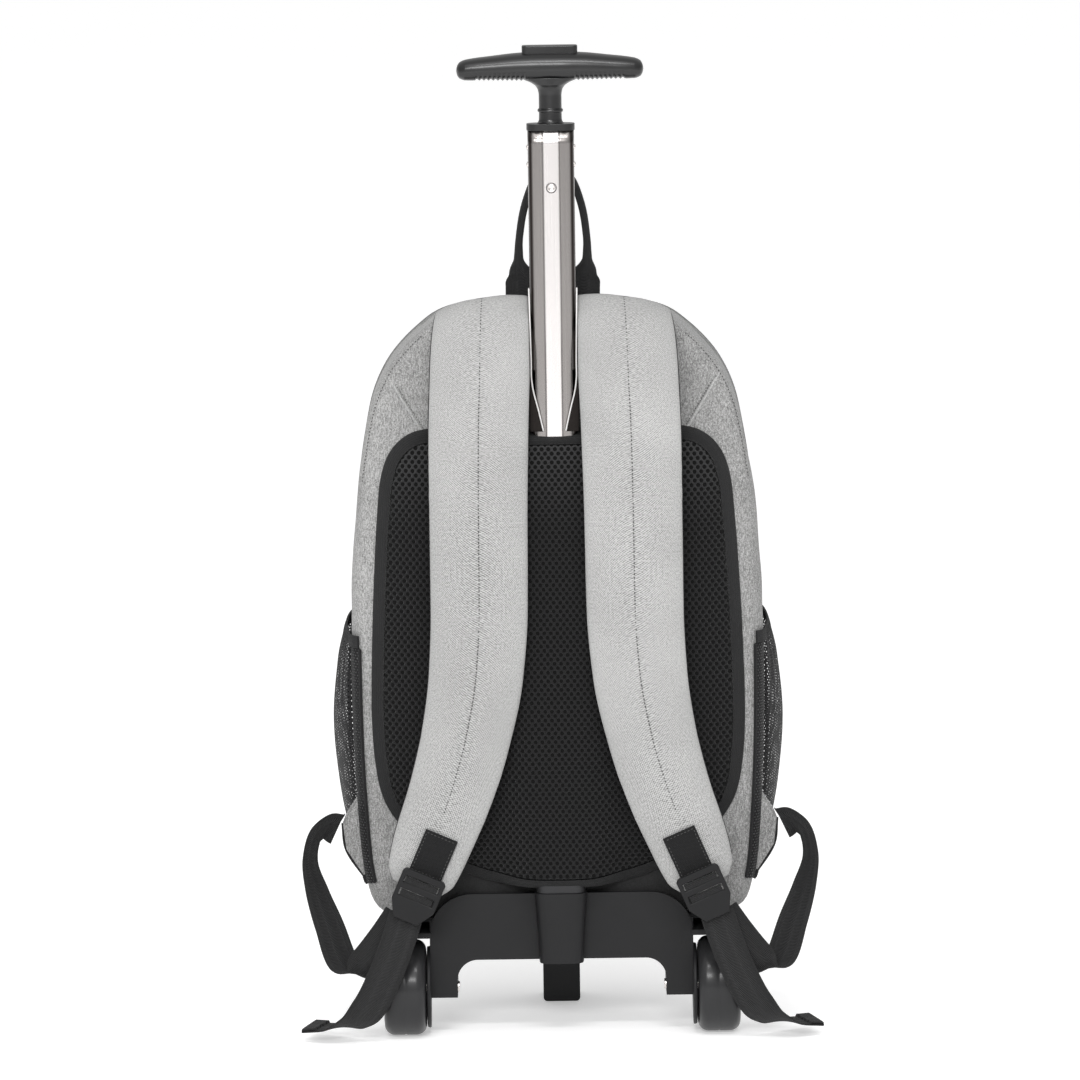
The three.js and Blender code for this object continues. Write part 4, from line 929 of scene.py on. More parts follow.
def addStraps():
    def shape():
        bm = shapedGrid(strapPoint, *strap["grid"], (0.16, 0.46), closed=True)
        nudge(bm, strapPucker)
        return bm

    for piece in pair("shoulderStrap", shape, "strap", ["shoulder_strap"]):
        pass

    def seam():
        shares = np.linspace(0.03, 0.9, 120)
        line = strapFace(shares, 0 * shares, 0 * shares + 1 - strap["groove"] - strap["valley"] + 0.04)
        return stitched(Track(line, samples=2), (0, -1, 0.15), 0.0027, 0.0017, 0.00055)

    pair("strapStitch", seam, "threadDark")

    def edging(middle, reach):
        def place(u, v):
            turn = u * 2 * math.pi
            across = middle + reach * np.cos(turn)
            return strapFace(0.02 + v * 0.955, across, reach * 6 * np.sin(turn))

        bm = shapedGrid(place, 10, 240, (0.006, 0.46), closed=True)
        closeEnds(bm)
        return bm

    for name, edge in zip(("Inner", "Outer"), strap["edges"]):
        pair(f"strapEdge{name}", lambda: edging(*edge), "binding")


addStraps()
print("shoulder straps made")


# Webbing: patches, loops, tails and hems
webbing = {
    "wide": 0.025,
    "thick": 0.0016,
    "patch": 0.033,
    "hem": (0.915, 0.998),
    "hemLift": 1.15,
    "loopTop": 0.155,
    "buckleHigh": 0.1105,
    "buckleSide": 0.1055,
    "buckleStand": 0.0044,
    "lean": 23.5,
    "loop": [
        (1.087, -0.38, 0.981, 0, -0.2, 0.98), (1.127, -0.26, 1, 0.1, -0.7, 0.7),
        (1.193, -0.03, 0.961, 0.3, -0.85, 0.35), (1.22, 0.12, 0.845, 0.4, -0.9, 0.1),
        (1.187, 0.26, 0.703, 0.65, -0.75, 0.1), (1.127, 0.47, 0.542, 0.85, -0.5, 0.1),
        (1.067, 0.74, 0.39, 0.9, -0.4, 0), (1.007, 0.94, 0.342, 0.75, -0.6, 0.3),
        (0.947, 1.01, 0.4, 0.77, 0, 0.64), (0.853, 1.04, 0.516, 0.8, 0, 0.6),
        (0.78, 1.07, 0.619, 0.85, 0, 0.5),
    ],
    "tail": [
        (0.75, 1.21, 0.887, 0.93, 0, 0.37), (0.793, 1.21, 0.706, 0.94, 0, 0.34),
        (0.86, 1.21, 0.471, 0.93, 0, 0.37), (0.94, 1.18, 0.262, 0.88, -0.1, 0.45),
        (1.02, 0.98, 0.145, 0.62, -0.62, 0.42), (1.127, 0.66, 0.1, 0.32, -0.94, 0),
        (1.24, 0.42, 0.084, 0.3, -0.95, -0.1),
    ],
}


def bandTrack(rows, top):
    places = [(row[0] * bag["half"], backY - row[1] * strap["stand"], row[2] * top) for row in rows]
    stations = np.linspace(0, 1, len(rows))
    ways = [curveThrough(list(zip(stations, [row[k] for row in rows]))) for k in (3, 4, 5)]
    track = Track(places)
    # The way across is given at the rows, so length is turned into a share of the rows.
    marks = np.interp(np.arange(len(rows)) * 24, np.arange(len(track.travel)), track.travel) / track.length
    return track, ways, marks, stations


def bandPoint(rows, top, width, thick, start=0.0, end=1.0, lift=0.0):
    track, ways, marks, stations = bandTrack(rows, top)

    def place(u, v):
        share = start + v * (end - start)
        station = np.interp(share, marks, stations)
        run = track.run(share)
        across = np.stack([way(station) for way in ways], axis=-1)
        across = unit(across - run * np.sum(across * run, axis=-1, keepdims=True))
        face = np.cross(run, across)
        turn = u * 2 * math.pi
        wide = squared(np.cos(turn), 0.25)
        deep = squared(np.sin(turn), 0.5)
        close = drawnIn(v, 0.002)[:, None]
        point = track.at(share) + across * (wide * width / 2)[:, None]
        return point + face * (deep * thick / 2 + lift)[:, None] * (0.05 + 0.95 * close)

    return place, track.length


def bandMesh(rows, top, start=0.0, end=1.0, lift=0.0, along=130):
    place, length = bandPoint(rows, top, webbing["wide"], webbing["thick"], start, end, lift)
    bm = shapedGrid(place, 28, along, (0.053, length * (end - start)), closed=True)
    turnPattern(bm)
    closeEnds(bm)
    return bm


def leaning(points, y):
    # Points given across and down the buckle's lean, from its middle.
    lean = math.radians(webbing["lean"])
    made = []
    for across, down in points:
        x = webbing["buckleSide"] + across * math.cos(lean) + down * math.sin(lean)
        z = webbing["buckleHigh"] + across * math.sin(lean) - down * math.cos(lean)
        made.append((x, y, z))
    return made


def slab(points, y, thick, bevel=0.0004):
    # A flat piece that leans as the buckle does, with softened edges.
    bm = bmesh.new()
    layer = bm.loops.layers.uv.new("cloth")
    raised(bm, leaning(points, y), thick)
    bmesh.ops.recalc_face_normals(bm, faces=bm.faces)
    rounded(bm, bm.edges[:], bevel)
    lean = math.radians(webbing["lean"])
    for face in bm.faces:
        for loop in face.loops:
            co = loop.vert.co
            across = co.x * math.cos(lean) + co.z * math.sin(lean)
            loop[layer].uv = (co.x * math.sin(lean) - co.z * math.cos(lean), across)
    return bm


def addWebbing():
    half = webbing["wide"] / 2
    strapFront = backY - strap["stand"] - strap["thick"] / 2

    def loop():
        return bandMesh(webbing["loop"], webbing["loopTop"])

    def tail():
        return bandMesh(webbing["tail"], webbing["buckleHigh"])

    def hem():
        lift = -webbing["thick"] * webbing["hemLift"]
        return bandMesh(webbing["tail"], webbing["buckleHigh"], *webbing["hem"], lift, 24)

    pair("webbingLoop", loop, "webbing", ["webbing_loop"])
    pair("webbingTail", tail, "webbing", ["webbing_tail"])

    pair("tailHem", hem, "webbing", ["tail_hem"])

    def patch():
        low, high = webbing["patch"] * 0.5, webbing["patch"] * 1.5
        outline = [(-half, -high), (half, -high), (half, -low), (-half, -low)]
        return slab(outline, strapFront - webbing["thick"] - 0.0003, webbing["thick"])

    # The patch wears the darker copy of the webbing, as painted shade.
    pair("strapPatch", patch, "patch", ["strap_patch"])

    def patchStitch():
        low, high, side = webbing["patch"] * 0.56, webbing["patch"] * 1.44, half * 0.86
        box = [(-side, -high), (side, -high), (side, -low), (-side, -low)]
        corners = leaning(box, strapFront - webbing["thick"] - 0.0004)
        sides = zip(corners, corners[1:] + corners[:1])
        drawn = [tuple(Vector(a).lerp(Vector(b), s / 6)) for a, b in sides for s in range(6)]
        return stitched(Track(drawn, samples=2), (0, -1, 0), 0.0027, 0.0018, 0.0003)

    pair("patchStitch", patchStitch, "threadDark")


addWebbing()
print("webbing made")


# Pieces taken from the CAD nodes: a merged copy whose edges are softened.
def fromNode(node, name, finish, body="pack", edge=0.0005, segments=3, angle=30.0):
    bm = bmesh.new()
    bm.from_mesh(nodes[node].data)
    bmesh.ops.remove_doubles(bm, verts=bm.verts, dist=1e-5)
    flat = math.radians(1.0)
    bmesh.ops.dissolve_limit(bm, angle_limit=flat, verts=bm.verts, edges=bm.edges)
    piece = finished(name, bm, finish, body, [node])
    soften(piece, edge, segments, angle)
    piece.data.set_sharp_from_angle(angle=math.radians(50))
    return piece


# Ladder-lock buckles
lock = {
    "plateFront": 0.002,
    "slotTop": (0.0135, 0.0035),
    "slotHigh": 0.0055,
    "bandWide": 0.0125,
    "ribs": 5,
    "ribShare": 0.86,
    "bulge": 0.0011,
    "sunk": 0.0008,
    "deep": 0.002,
    "soft": 0.00028,
}


def addLocks():
    front = backY - strap["stand"] - strap["thick"] / 2 - webbing["buckleStand"]
    for side in ("right", "left"):
        fromNode(f"ladder_lock_{side}", f"ladderLock_{side}", "buckle", edge=0.0006)

    def bands():
        bm = bmesh.new()
        bm.loops.layers.uv.new("cloth")
        step = lock["slotHigh"] / lock["ribs"]
        for top in lock["slotTop"]:
            for rib in range(lock["ribs"]):
                down = -(top - 0.0006 - rib * step)
                foot = down + step * lock["ribShare"]
                half = lock["bandWide"] - 0.0003 * (rib % 2)
                corners = [(-half, down), (half, down), (half, foot), (-half, foot)]
                bulge = lock["bulge"] * math.sin(math.pi * (rib + 0.5) / lock["ribs"])
                y = front - lock["plateFront"] - bulge + lock["sunk"]
                raised(bm, leaning(corners, y), lock["deep"])
        bmesh.ops.recalc_face_normals(bm, faces=bm.faces)
        rounded(bm, bm.edges[:], lock["soft"])
        return bm

    pair("lockWebbing", bands, "webbing")


addLocks()
print("ladder locks made")


# Side tabs with their bound edge, from which the lower webbing comes
tab = {
    "top": 0.18,
    "height": 0.066,
    "reach": 0.013,
    "wall": 0.003,
    "soft": 0.0008,
    "y": 0.012,
    "cord": 0.0011,
    "knot": 0.0022,
    "knotFrom": (0.0012, 0, 0.004),
    "knotTo": (-0.0015, 0, -0.003),
}


def addTabs():
    root = bag["half"] - 0.0008
    near = backY + tab["y"]
    drawn = [
        (root - 0.0035, 0), (root + tab["reach"] * 0.55, 0.25), (root + tab["reach"] * 0.78, 0.36),
        (root + tab["reach"] * 0.6, 0.66), (root - 0.0065, 1), (root - 0.0065, 0.5),
    ]
    corners = [(x, near, tab["top"] - share * tab["height"]) for x, share in drawn]

    def shape():
        bm = bmesh.new()
        bm.loops.layers.uv.new("cloth")
        raised(bm, corners, tab["wall"])
        bmesh.ops.recalc_face_normals(bm, faces=bm.faces)
        rounded(bm, bm.edges[:], tab["soft"])
        flatPattern(bm)
        return bm

    pair("sideTab", shape, "heather", ["side_tab"])
    edge = [(x, y + tab["wall"] / 2, z) for x, y, z in corners[2:5]]
    pair("tabBinding", lambda: swept(edge, tab["cord"]), "binding")

    def knot():
        end = Vector(edge[-1])
        line = [end + Vector(tab["knotFrom"]), end, end + Vector(tab["knotTo"])]
        bm = swept(line, tab["knot"], 12, 24)
        nudge(bm, lambda vert: rollingNoise(vert.co, 700.0) * 0.0006)
        return bm

    pair("tabKnot", knot, "binding")
    sewn = Track([(x - 0.0016, y - 0.0002, z) for x, y, z in corners[:3]])
    pair("tabStitch", lambda: stitched(sewn, (0, -1, 0), 0.003), "threadGrey")


addTabs()
print("side tabs made")


# Side pockets of net, with an elastic band at the top
pocket = {
    "low": 0.024,
    "height": 0.185,
    "stand": 0.015,
    "rear": 0.019,
    "front": 0.133,
    "wall": 0.0012,
    "bandHeight": 0.009,
    "bandWall": 0.0014,
    "folds": 9,
    "foldDeep": 0.0006,
    "slack": 0.0007,
    "bandRucks": 26,
    "ruckDeep": 0.00035,
    "wrap": 0.108,
    "wrapMap": 0.024,
    "wrapLift": 0.0009,
    "wrapBandLift": 0.0016,
    "wrapBandWall": 0.0012,
    "sideCord": 0.0012,
    "lowCord": 0.0014,
    "rows": [(0, 0.08), (0.12, 0.55), (0.35, 0.86), (0.6, 1), (0.85, 0.72), (1, 0.28)],
}
pocketStandAt = curveThrough(pocket["rows"])
bagHalfAt = curveThrough([(high, wide) for wide, high in bag["outline"][3:10]])
pocketLow = bag["bottom"] + pocket["low"]


def pocketPoint(u, high, lift=0.0):
    z = pocketLow + high * pocket["height"]
    y = backY + pocket["rear"] + u * (pocket["front"] - pocket["rear"])
    crown = np.sin(np.clip(u, 0, 1) * math.pi) ** 0.55
    stand = pocket["stand"] * pocketStandAt(high) * crown
    half = bagHalfAt((z - bag["bottom"]) / bag["height"]) * bag["half"]
    return np.stack([half + pocket["wall"] + 0.0003 + stand + lift, y, z], axis=-1)


def addPockets():
    netTop = 1 - (pocket["bandHeight"] + 0.0003) / pocket["height"]
    tall = pocket["height"] * netTop
    around = pocket["front"] - pocket["rear"] + 2 * pocket["stand"]

    def gathered(u, v):
        point = pocketPoint(u, v * netTop)
        ruck = np.sin(u * 2 * math.pi * pocket["folds"] + 1.3 * np.sin(u * 7)) * pocket["foldDeep"]
        ruck = ruck * np.clip((v - 0.55) / 0.45, 0, 1)
        slack = np.sin(u * 11 + v * 6) * pocket["slack"] * np.sin(u * math.pi) * np.sin(v * math.pi)
        point[:, 0] += ruck + slack
        return point

    def net():
        return shapedGrid(gathered, 120, 100, (around, tall))

    def elastic():
        def place(u, v):
            point = pocketPoint(u, 1 - (1 - v) * pocket["bandHeight"] / pocket["height"], 0.0006)
            rucks = np.sin(u * 2 * math.pi * pocket["bandRucks"]) * pocket["ruckDeep"]
            point[:, 0] += rucks * np.sin(v * math.pi)
            return point

        return shapedGrid(place, 220, 8, (around, pocket["bandHeight"]))

    def rimOf(points, radius):
        return lambda: swept(points, radius, 8, 160)

    for piece in pair("sidePocket", net, "net", ["side_pocket"]):
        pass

    def walled(piece):
        return thicken(piece, pocket["bandWall"])

    pair("pocketBand", elastic, "binding", ["pocket_band"], done=walled)

    # The net and its elastic reach round the bag's edge on to its back.
    shares = np.linspace(0.05, 0.45, 300)
    heights = bagLoop.at(shares)[:, 2]

    def wrapPoint(deep, z, lift):
        share = np.interp(z, heights, shares)
        point, run = bagPoint(share, deep), bagLoop.run(share)
        point[:, 0] += run[:, 2] * lift
        point[:, 1] -= lift
        return point

    def wrapNet():
        def place(u, v):
            return wrapPoint(pocket["wrap"] * u, pocketLow + v * tall, pocket["wrapLift"])

        return shapedGrid(place, 20, 80, (pocket["wrapMap"], tall), flip=True)

    def wrapElastic():
        def place(u, v):
            low = pocketLow + pocket["height"] - pocket["bandHeight"]
            return wrapPoint(pocket["wrap"] * u, low + v * pocket["bandHeight"], pocket["wrapBandLift"])

        return shapedGrid(place, 20, 8, (pocket["wrapMap"], pocket["bandHeight"]), flip=True)

    def wrapWalled(piece):
        return thicken(piece, pocket["wrapBandWall"])

    pair("pocketWrap", wrapNet, "net")
    pair("pocketWrapBand", wrapElastic, "binding", done=wrapWalled)

    high = np.linspace(0.0, 0.95, 14)
    rear = wrapPoint(0.001 + 0 * high, pocketLow + high * pocket["height"], pocket["wrapLift"])
    front = pocketPoint(0 * high + 0.996, high, 0.0008)
    pair("pocketRearBinding", rimOf(rear, pocket["sideCord"]), "binding")
    pair("pocketFrontBinding", rimOf(front, pocket["sideCord"]), "binding")
    wide = np.linspace(0.004, 0.996, 24)
    low = pocketPoint(wide, 0 * wide + 0.004, 0.0006)
    pair("pocketLowBinding", rimOf(low, pocket["lowCord"]), "binding")


addPockets()
print("side pockets made")


# Grab handle: webbing whose middle is folded into a narrow grip
grab = {
    "y": 0.021,
    "top": 0.632,
    "spread": 0.0336,
    "wide": 0.025,
    "deep": 0.013,
    "shift": 0.0016,
    "upright": 0.08,
    "twist": 0.2,
    "blunt": 0.45,
    "rows": [
        (0, 0.646, 0, 1, 0.2), (0.12, 0.655, 0.16, 1, 0.2), (0.22, 0.74, 0.29, 0.62, 0.6),
        (0.3, 0.74, 0.4, 0.28, 0.95), (0.46, 0.69, 0.6, 0.22, 1), (0.62, 0.58, 0.78, 0.22, 1),
        (0.82, 0.34, 0.96, 0.22, 1), (1, 0, 1, 0.22, 1),
    ],
}


def addGrab():
    low = bag["bottom"] + bag["height"] + 0.0003
    rise = grab["top"] - low
    x, high, across, deep = rowCurves(grab["rows"], (1, 2, 3, 4))
    steps = np.linspace(0, 1, 22)
    half = [(float(x(t)) * grab["spread"], 0, low + float(high(t)) * rise) for t in steps]
    line = [(-a, b, c) for a, b, c in half[:-1]] + [half[-1]] + half[-2::-1]
    track = Track([(a + grab["shift"] * (c - low) / rise, b, c) for a, b, c in line])
    y = backY + grab["y"]

    def place(u, v):
        t = 1 - np.abs(v * 2 - 1)
        run = track.run(v)
        over = np.stack([-run[:, 2], 0 * v, run[:, 0]], axis=-1)
        over[:, 2] *= np.clip((t - grab["upright"]) / grab["twist"], 0, 1)
        over = unit(over)
        turn = u * 2 * math.pi
        wide = squared(np.cos(turn), grab["blunt"])
        thick = squared(np.sin(turn), grab["blunt"])
        point = track.at(v) + over * (wide * across(t) * grab["wide"] / 2)[:, None]
        point[:, 1] = y + thick * deep(t) * grab["deep"] / 2
        return point

    bm = shapedGrid(place, 40, 220, (0.06, track.length), closed=True)
    turnPattern(bm)
    closeEnds(bm)
    finished("grabHandle", bm, "webbing", replaced=["grab_handle"])


addGrab()
print("grab handle made")


# Telescopic handle
tube = {
    "wide": 0.0335,
    "deep": 0.018,
    "wall": 0.0012,
    "top": 0.6648,
    "length": 0.365,
    "pinHigh": 0.624,
    "rivetDrops": (0.012, 0.0245),
    "rivet": [
        (0, 0.0011), (0.0009, 0.001), (0.0018, 0.0005), (0.0021, 0), (0.0021, -0.0008), (0, -0.0008),
    ],
    "pin": [
        (0, 0.0007), (0.0017, 0.0006), (0.0019, 0.0009), (0.0024, 0.0013), (0.0029, 0.001),
        (0.0031, 0.0004), (0.0031, -0.0006), (0, -0.0006),
    ],
    "pinRing": [
        (0.0032, -0.0002), (0.0034, 0.0002), (0.0038, 0.0002), (0.004, -0.0004), (0.0032, -0.0004),
        (0.0032, -0.0002),
    ],
    "section": [
        (0, 1), (0.325, 1), (0.345, 0.975), (0.375, 0.975), (0.4, 0.99), (0.72, 0.92), (0.8, 0.87),
        (0.86, 0.76), (0.93, 0.6), (0.98, 0.36), (1, 0),
    ],
}
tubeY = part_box("steel_tube")[0].y + tube["deep"] / 2


def turnedProfile(profile, at, axis, sides=40):
    # A profile of (distance from the axis, place along it), spun round the axis.
    bm = bmesh.new()
    verts = [bm.verts.new((radius, 0, along)) for radius, along in profile]
    edges = [bm.edges.new(two) for two in zip(verts, verts[1:])]
    whole = 2 * math.pi
    around = {"cent": (0, 0, 0), "axis": (0, 0, 1), "angle": whole, "steps": sides, "use_merge": True}
    bmesh.ops.spin(bm, geom=verts + edges, **around)
    bmesh.ops.remove_doubles(bm, verts=bm.verts, dist=1e-6)
    bmesh.ops.recalc_face_normals(bm, faces=bm.faces)
    turn = Vector(axis).to_track_quat("Z", "Y").to_matrix().to_4x4()
    bmesh.ops.transform(bm, matrix=Matrix.Translation(at) @ turn, verts=bm.verts)
    return bm


def addTube():
    low = tube["top"] - tube["length"]
    rows = np.array(tube["section"])
    steps = np.linspace(0, 1, len(rows))

    def wall(u, v):
        # A quarter of the section runs from the middle of a face, at 0, to the middle of a side, at 1.
        quarter = np.abs(np.mod(u * 4 + 1, 2) - 1)
        right = np.where(u < 0.5, 1, -1)
        forwards = np.where(np.abs(u - 0.5) < 0.25, 1, -1)
        x = np.interp(quarter, steps, rows[:, 0]) * right * tube["wide"] / 2
        y = np.interp(quarter, steps, rows[:, 1]) * forwards * tube["deep"] / 2
        return np.stack([x, tubeY + y, low + v * tube["length"]], axis=-1)

    bm = shapedGrid(wall, 8 * (len(rows) - 1), 40, (0.09, tube["length"]), closed=True)
    # The tube wears steel with painted reflections.
    piece = finished("steelTube", bm, "reflectionPaintedSteel", "handle", ["steel_tube"])
    piece.data.set_sharp_from_angle(angle=math.radians(14))
    thicken(piece, tube["wall"])
    for index, drop in enumerate(tube["rivetDrops"]):
        for side in (-1, 1):
            at = (side * tube["wide"] / 2, tubeY, tube["top"] - drop)
            bm = turnedProfile(tube["rivet"], at, (side, 0, 0), 24)
            name = f"tubeRivet{index + 1}_{'right' if side > 0 else 'left'}"
            finished(name, bm, "steel", "handle")
    front = (0, tubeY - tube["deep"] / 2, tube["pinHigh"])
    bm = turnedProfile(tube["pin"], front, (0, -1, 0))
    finished("tubePin", bm, "steel", "handle", ["tube_pin"])
    bm = turnedProfile(tube["pinRing"], front, (0, -1, 0))
    finished("pinRing", bm, "sleeve", "handle")
    fromNode("tube_collar", "tubeCollar", "grip", "handle", 0.0007)
    fromNode("outer_sleeve", "outerSleeve", "sleeve", "pack", 0.0003, 2)


addTube()


# Grip
grip = {
    "length": 0.1346,
    "height": 0.021,
    "deep": 0.027,
    "low": 0.7005,
    "parting": 0.0068,
    "lip": 0.0003,
    "teethFrom": 0.0172,
    "teethTo": 0.0548,
    "tooth": 0.00335,
    "toothDeep": 0.0011,
    "toothSide": 0.0005,
    "blunt": 2 / 2.3,
    "neckDeep": 0.0118,
    "neck": [
        (0.6703, 0.0097), (0.6712, 0.0088), (0.673, 0.0083), (0.6779, 0.0082), (0.6783, 0.0089),
        (0.6793, 0.0092), (0.6803, 0.0089), (0.6807, 0.0082), (0.69, 0.0082), (0.694, 0.0088),
        (0.697, 0.0106), (0.6995, 0.0142), (0.7013, 0.0185), (0.703, 0.022),
    ],
    "rows": [
        (0.12, 1, 0, 1), (0.34, 0.97, 0.015, 0.95), (0.6, 0.885, 0.03, 0.86), (0.9, 0.76, 0.05, 0.72),
        (0.96, 0.68, 0.11, 0.58), (0.985, 0.58, 0.2, 0.4), (1, 0.43, 0.34, 0.12),
    ],
}


def addGrip():
    rows = [(-along, *rest) for along, *rest in reversed(grip["rows"])] + grip["rows"]
    top, low, deep = rowCurves(rows, (1, 2, 3))

    def bar(u, v):
        along = v * 2 - 1
        floor = grip["low"] + low(along) * grip["height"]
        roof = grip["low"] + top(along) * grip["height"]
        turn = u * 2 * math.pi
        y, z = squared(np.cos(turn), grip["blunt"]), squared(np.sin(turn), grip["blunt"])
        close = drawnIn(v, 0.002) ** 0.5
        height = (floor + roof) / 2 + z * close * (roof - floor) / 2
        parted = np.where(height > grip["low"] + grip["parting"], grip["lip"], 0)
        reach = np.abs(along) * grip["length"] / 2
        within = (reach > grip["teethFrom"]) & (reach < grip["teethTo"])
        wave = 0.5 - 0.5 * np.cos((reach - grip["teethFrom"]) * 2 * math.pi / grip["tooth"])
        notch = np.where(within & (parted == 0), wave, 0) ** 0.8
        half = deep(along) * grip["deep"] / 2
        depth = y * close * (half + parted - notch * grip["toothSide"] * np.abs(y))
        below = np.clip(-z, 0, 1) ** 2 * notch * grip["toothDeep"]
        return np.stack([along * grip["length"] / 2, tubeY + depth, height + below], axis=-1)

    bm = shapedGrid(bar, 72, 420, (0.08, grip["length"]), closed=True)
    finished("gripBar", bm, "grip", "handle", ["t_grip"])
    halfAt = curveThrough(grip["neck"])
    floor, roof = grip["neck"][0][0], grip["neck"][-1][0]

    def neck(u, v):
        z = floor + v * (roof - floor)
        half = halfAt(z)
        turn = u * 2 * math.pi
        y = tubeY + np.sin(turn) * np.minimum(half, grip["neckDeep"])
        return np.stack([np.cos(turn) * half, y, z], axis=-1)

    bm = shapedGrid(neck, 48, 90, (0.05, roof - floor), closed=True)
    closeEnds(bm)
    finished("gripNeck", bm, "grip", "handle")
    fromNode("release_button", "releaseButton", "grip", "button", 0.0008)


addGrip()
print("pull handle made")


# Dark cloth at the foot of the visible tube, with its pale edge
flap = {
    "low": 0.4478,
    "height": 0.044,
    "wall": 0.0008,
    "standOff": 0.0011,
    "turnAt": 0.45,
    "turnReach": 0.08,
    "edge": [(0, 0.46), (0.35, 0.66), (0.75, 0.9), (1, 0.96)],
    "pipe": 0.00055,
    "pipeTop": 0.552,
    "pipeOut": (0.0162, 0.0173),
    "pipeBack": 0.0034,
}


def addFlaps():
    edgeAt = curveThrough(flap["edge"])
    front = tubeY - tube["deep"] / 2 - flap["standOff"]
    side = tube["wide"] / 2 + 0.0012

    def cloth():
        def place(u, v):
            inner = edgeAt(v) * (side - 0.0006)
            turn = np.clip((u - flap["turnAt"]) / (1 - flap["turnAt"]), 0, 1)
            x = inner + (side - inner) * np.clip(u / flap["turnAt"], 0, 1)
            y = front + turn * (padBack - front - 0.0002)
            z = flap["low"] + v * flap["height"]
            corner = np.exp(-(((u - flap["turnAt"]) / flap["turnReach"]) ** 2))
            return np.stack([x - corner * 0.0004, y + corner * 0.0003, z], axis=-1)

        return shapedGrid(place, 40, 50, (0.03, flap["height"]))

    def pipe():
        reach, top = side - 0.0006, flap["low"] + flap["height"]
        low, high = flap["pipeOut"]
        rows = []
        for v in np.linspace(0, 0.92, 11):
            rows.append((edgeAt(v) * reach, front - 0.0004, flap["low"] + v * flap["height"]))
        for rise in np.linspace(0.1, 1, 5):
            back = flap["pipeBack"] * min(1, rise * 2)
            rows.append((low + (high - low) * rise, front + back, top + (flap["pipeTop"] - top) * rise))
        return swept([(float(x), float(y), float(z)) for x, y, z in rows], flap["pipe"], 8, 120)

    def walled(piece):
        return thicken(piece, flap["wall"])

    pair("tubeFlap", cloth, "lining", ["tube_flap"], done=walled)
    pair("tubePiping", pipe, "piping")


addFlaps()
print("tube flaps made")


# Chassis, foot and wheels
tyreLow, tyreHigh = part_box("tyre_right")
wheel = {
    "radius": 0.035,
    "wide": 0.031,
    "spread": tyreLow.x + 0.0155,
    "y": (tyreLow.y + tyreHigh.y) / 2,
    "round": 0.0075,
    "groove": 0.0004,
    "grooveHalf": 0.0012,
    "hub": 0.021,
    "hubHalf": 0.013,
    "bore": 0.0044,
    "spoke": (0.019, 0.0034, 0.0092),
    "spokeOut": 0.0128,
    "gapShadeSpan": (0.0962, 0.0989),
    "fender": ((0.0955, -0.046, 0.067), (0.1295, -0.042, 0.087)),
    "spokes": 5,
}


def addBase():
    fromNode("chassis", "chassisBody", "chassis", edge=0.0012, segments=4, angle=35.0)
    fromNode("front_foot", "frontFoot", "chassis", edge=0.0012)
    for side in ("right", "left"):
        fromNode(f"axle_{side}", f"axle_{side}", "steel", edge=0.0005)
    fromNode("zip_slider", "zipSlider", "buckle", edge=0.0004)


def tyreShape():
    half, radius, soft = wheel["wide"] / 2, wheel["radius"], wheel["round"]
    profile = [(wheel["hub"] + 0.0002, -half + 0.002), (radius - soft - 0.002, -half)]
    for k in range(9):
        turn = math.pi / 2 * k / 8
        profile.append((radius - soft + math.sin(turn) * soft, -half + soft - math.cos(turn) * soft))
    profile += [(radius, -wheel["grooveHalf"]), (radius - wheel["groove"], 0.0)]
    profile += [(r, -z) for r, z in reversed(profile[:-1])]
    profile.append(profile[0])
    at = (wheel["spread"], wheel["y"], wheel["radius"])
    return turnedProfile(profile, at, (1, 0, 0), 72)


def hubShape():
    half, rim, bore = wheel["hubHalf"], wheel["hub"], wheel["bore"]
    profile = [
        (bore, -half), (0.0085, -half), (0.009, -half + 0.0006), (0.0092, -0.006), (0.0165, -0.0045),
        (0.0175, -half + 0.0012), (0.0182, -half), (rim - 0.0006, -half), (rim - 0.0002, -half + 0.0006),
    ]
    profile += [(r, -z) for r, z in reversed(profile)]
    profile.append(profile[0])
    at = (wheel["spread"], wheel["y"], wheel["radius"])
    bm = turnedProfile(profile, at, (1, 0, 0), 60)
    for spoke in range(wheel["spokes"]):
        turn = Matrix.Rotation(2 * math.pi * spoke / wheel["spokes"], 4, "X")
        place = Matrix.Translation(at) @ turn @ Matrix.Translation((0, 0, wheel["spokeOut"]))
        made = bmesh.ops.create_cube(bm, size=1, matrix=place @ Matrix.Diagonal((*wheel["spoke"], 1)))
        edges = {edge for vert in made["verts"] for edge in vert.link_edges}
        rounded(bm, list(edges), 0.0007)
    return bm


def gapShadeFlange():
    # The leg's flange round the axle, which closes the gap beside the wheel: a dark disc put there as
    # painted shade between wheel and leg.
    near, far = wheel["gapShadeSpan"]
    profile = [
        (wheel["bore"], near), (0.0295, near), (0.03, near + 0.0006), (0.0296, far - 0.0003), (0.029, far),
        (wheel["bore"], far), (wheel["bore"], near),
    ]
    return turnedProfile(profile, (0, wheel["y"], wheel["radius"]), (1, 0, 0), 60)


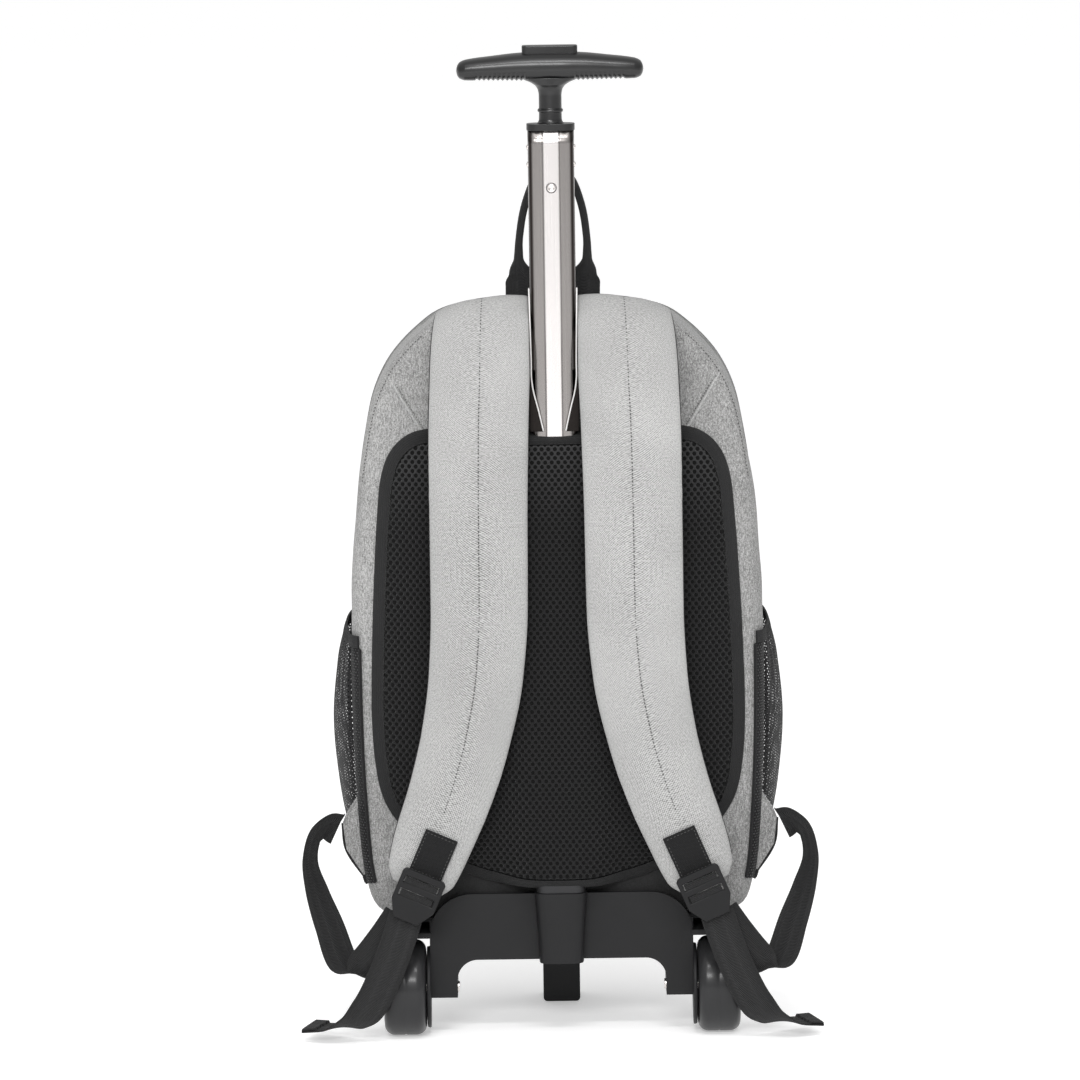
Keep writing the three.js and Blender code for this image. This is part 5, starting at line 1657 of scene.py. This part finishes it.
def fenderShape():
    # The fender's back wall, behind the top of the wheel.
    low, high = wheel["fender"]
    size = [b - a for a, b in zip(low, high)]
    middle = [(a + b) / 2 for a, b in zip(low, high)]
    bm = bmesh.new()
    bmesh.ops.create_cube(bm, size=1, matrix=Matrix.Translation(middle) @ Matrix.Diagonal((*size, 1)))
    rounded(bm, bm.edges[:], 0.0008)
    return bm


addBase()
pair("fenderWall", fenderShape, "chassis")
# A dark flange fills the gap beside each wheel, as painted shade.
pair("wheelGapShade", gapShadeFlange, "chassis")
pair("tyre", tyreShape, "tyre", ["tyre"], "wheel")
pair("wheelHub", hubShape, "hub", ["wheel_hub"], "wheel")
print("chassis and wheels made")


addCamera()
for lampName, placed in view["lamps"].items():
    addLamp(lampName, *placed)


def addFloor():
    bm = bmesh.new()
    bmesh.ops.create_grid(bm, x_segments=1, y_segments=1, size=view["floorHalf"])
    mesh = bpy.data.meshes.new("floor")
    bm.to_mesh(mesh)
    bm.free()
    f = Finish("studio floor", view["floorWhite"])
    dust = f.speckle(f.place(), 3.0)
    white = view["floorWhite"]
    shade = f.mix(dust, white, tuple(c * 0.99 for c in white))
    glow = {"Emission_Color": (1, 1, 1, 1), "Emission_Strength": view["floorGlow"]}
    mesh.materials.append(f.wear(shade, 0.7, None, Specular_IOR_Level=0.2, **glow))
    floor = bpy.data.objects.new("floor", mesh)
    bpy.context.scene.collection.objects.link(floor)


def addSky():
    world = bpy.data.worlds.new("studio")
    bpy.context.scene.world = world
    world.use_nodes = True
    tree = world.node_tree
    back = tree.nodes["Background"]
    back.inputs["Color"].default_value = (*view["sky"], 1)
    # Brighter overhead than at the horizon.
    way = tree.nodes.new("ShaderNodeTexCoord")
    parts = tree.nodes.new("ShaderNodeSeparateXYZ")
    rise = tree.nodes.new("ShaderNodeMapRange")
    rise.inputs["From Min"].default_value = 0.0
    rise.inputs["From Max"].default_value = view["overheadFrom"]
    rise.inputs["To Min"].default_value = view["horizon"]
    rise.inputs["To Max"].default_value = view["overhead"]
    tree.links.new(way.outputs["Generated"], parts.inputs[0])
    tree.links.new(parts.outputs["Z"], rise.inputs["Value"])
    tree.links.new(rise.outputs[0], back.inputs["Strength"])
    bpy.context.scene.view_settings.view_transform = "Standard"


addFloor()
addSky()
print("camera, lamps, floor and sky made")
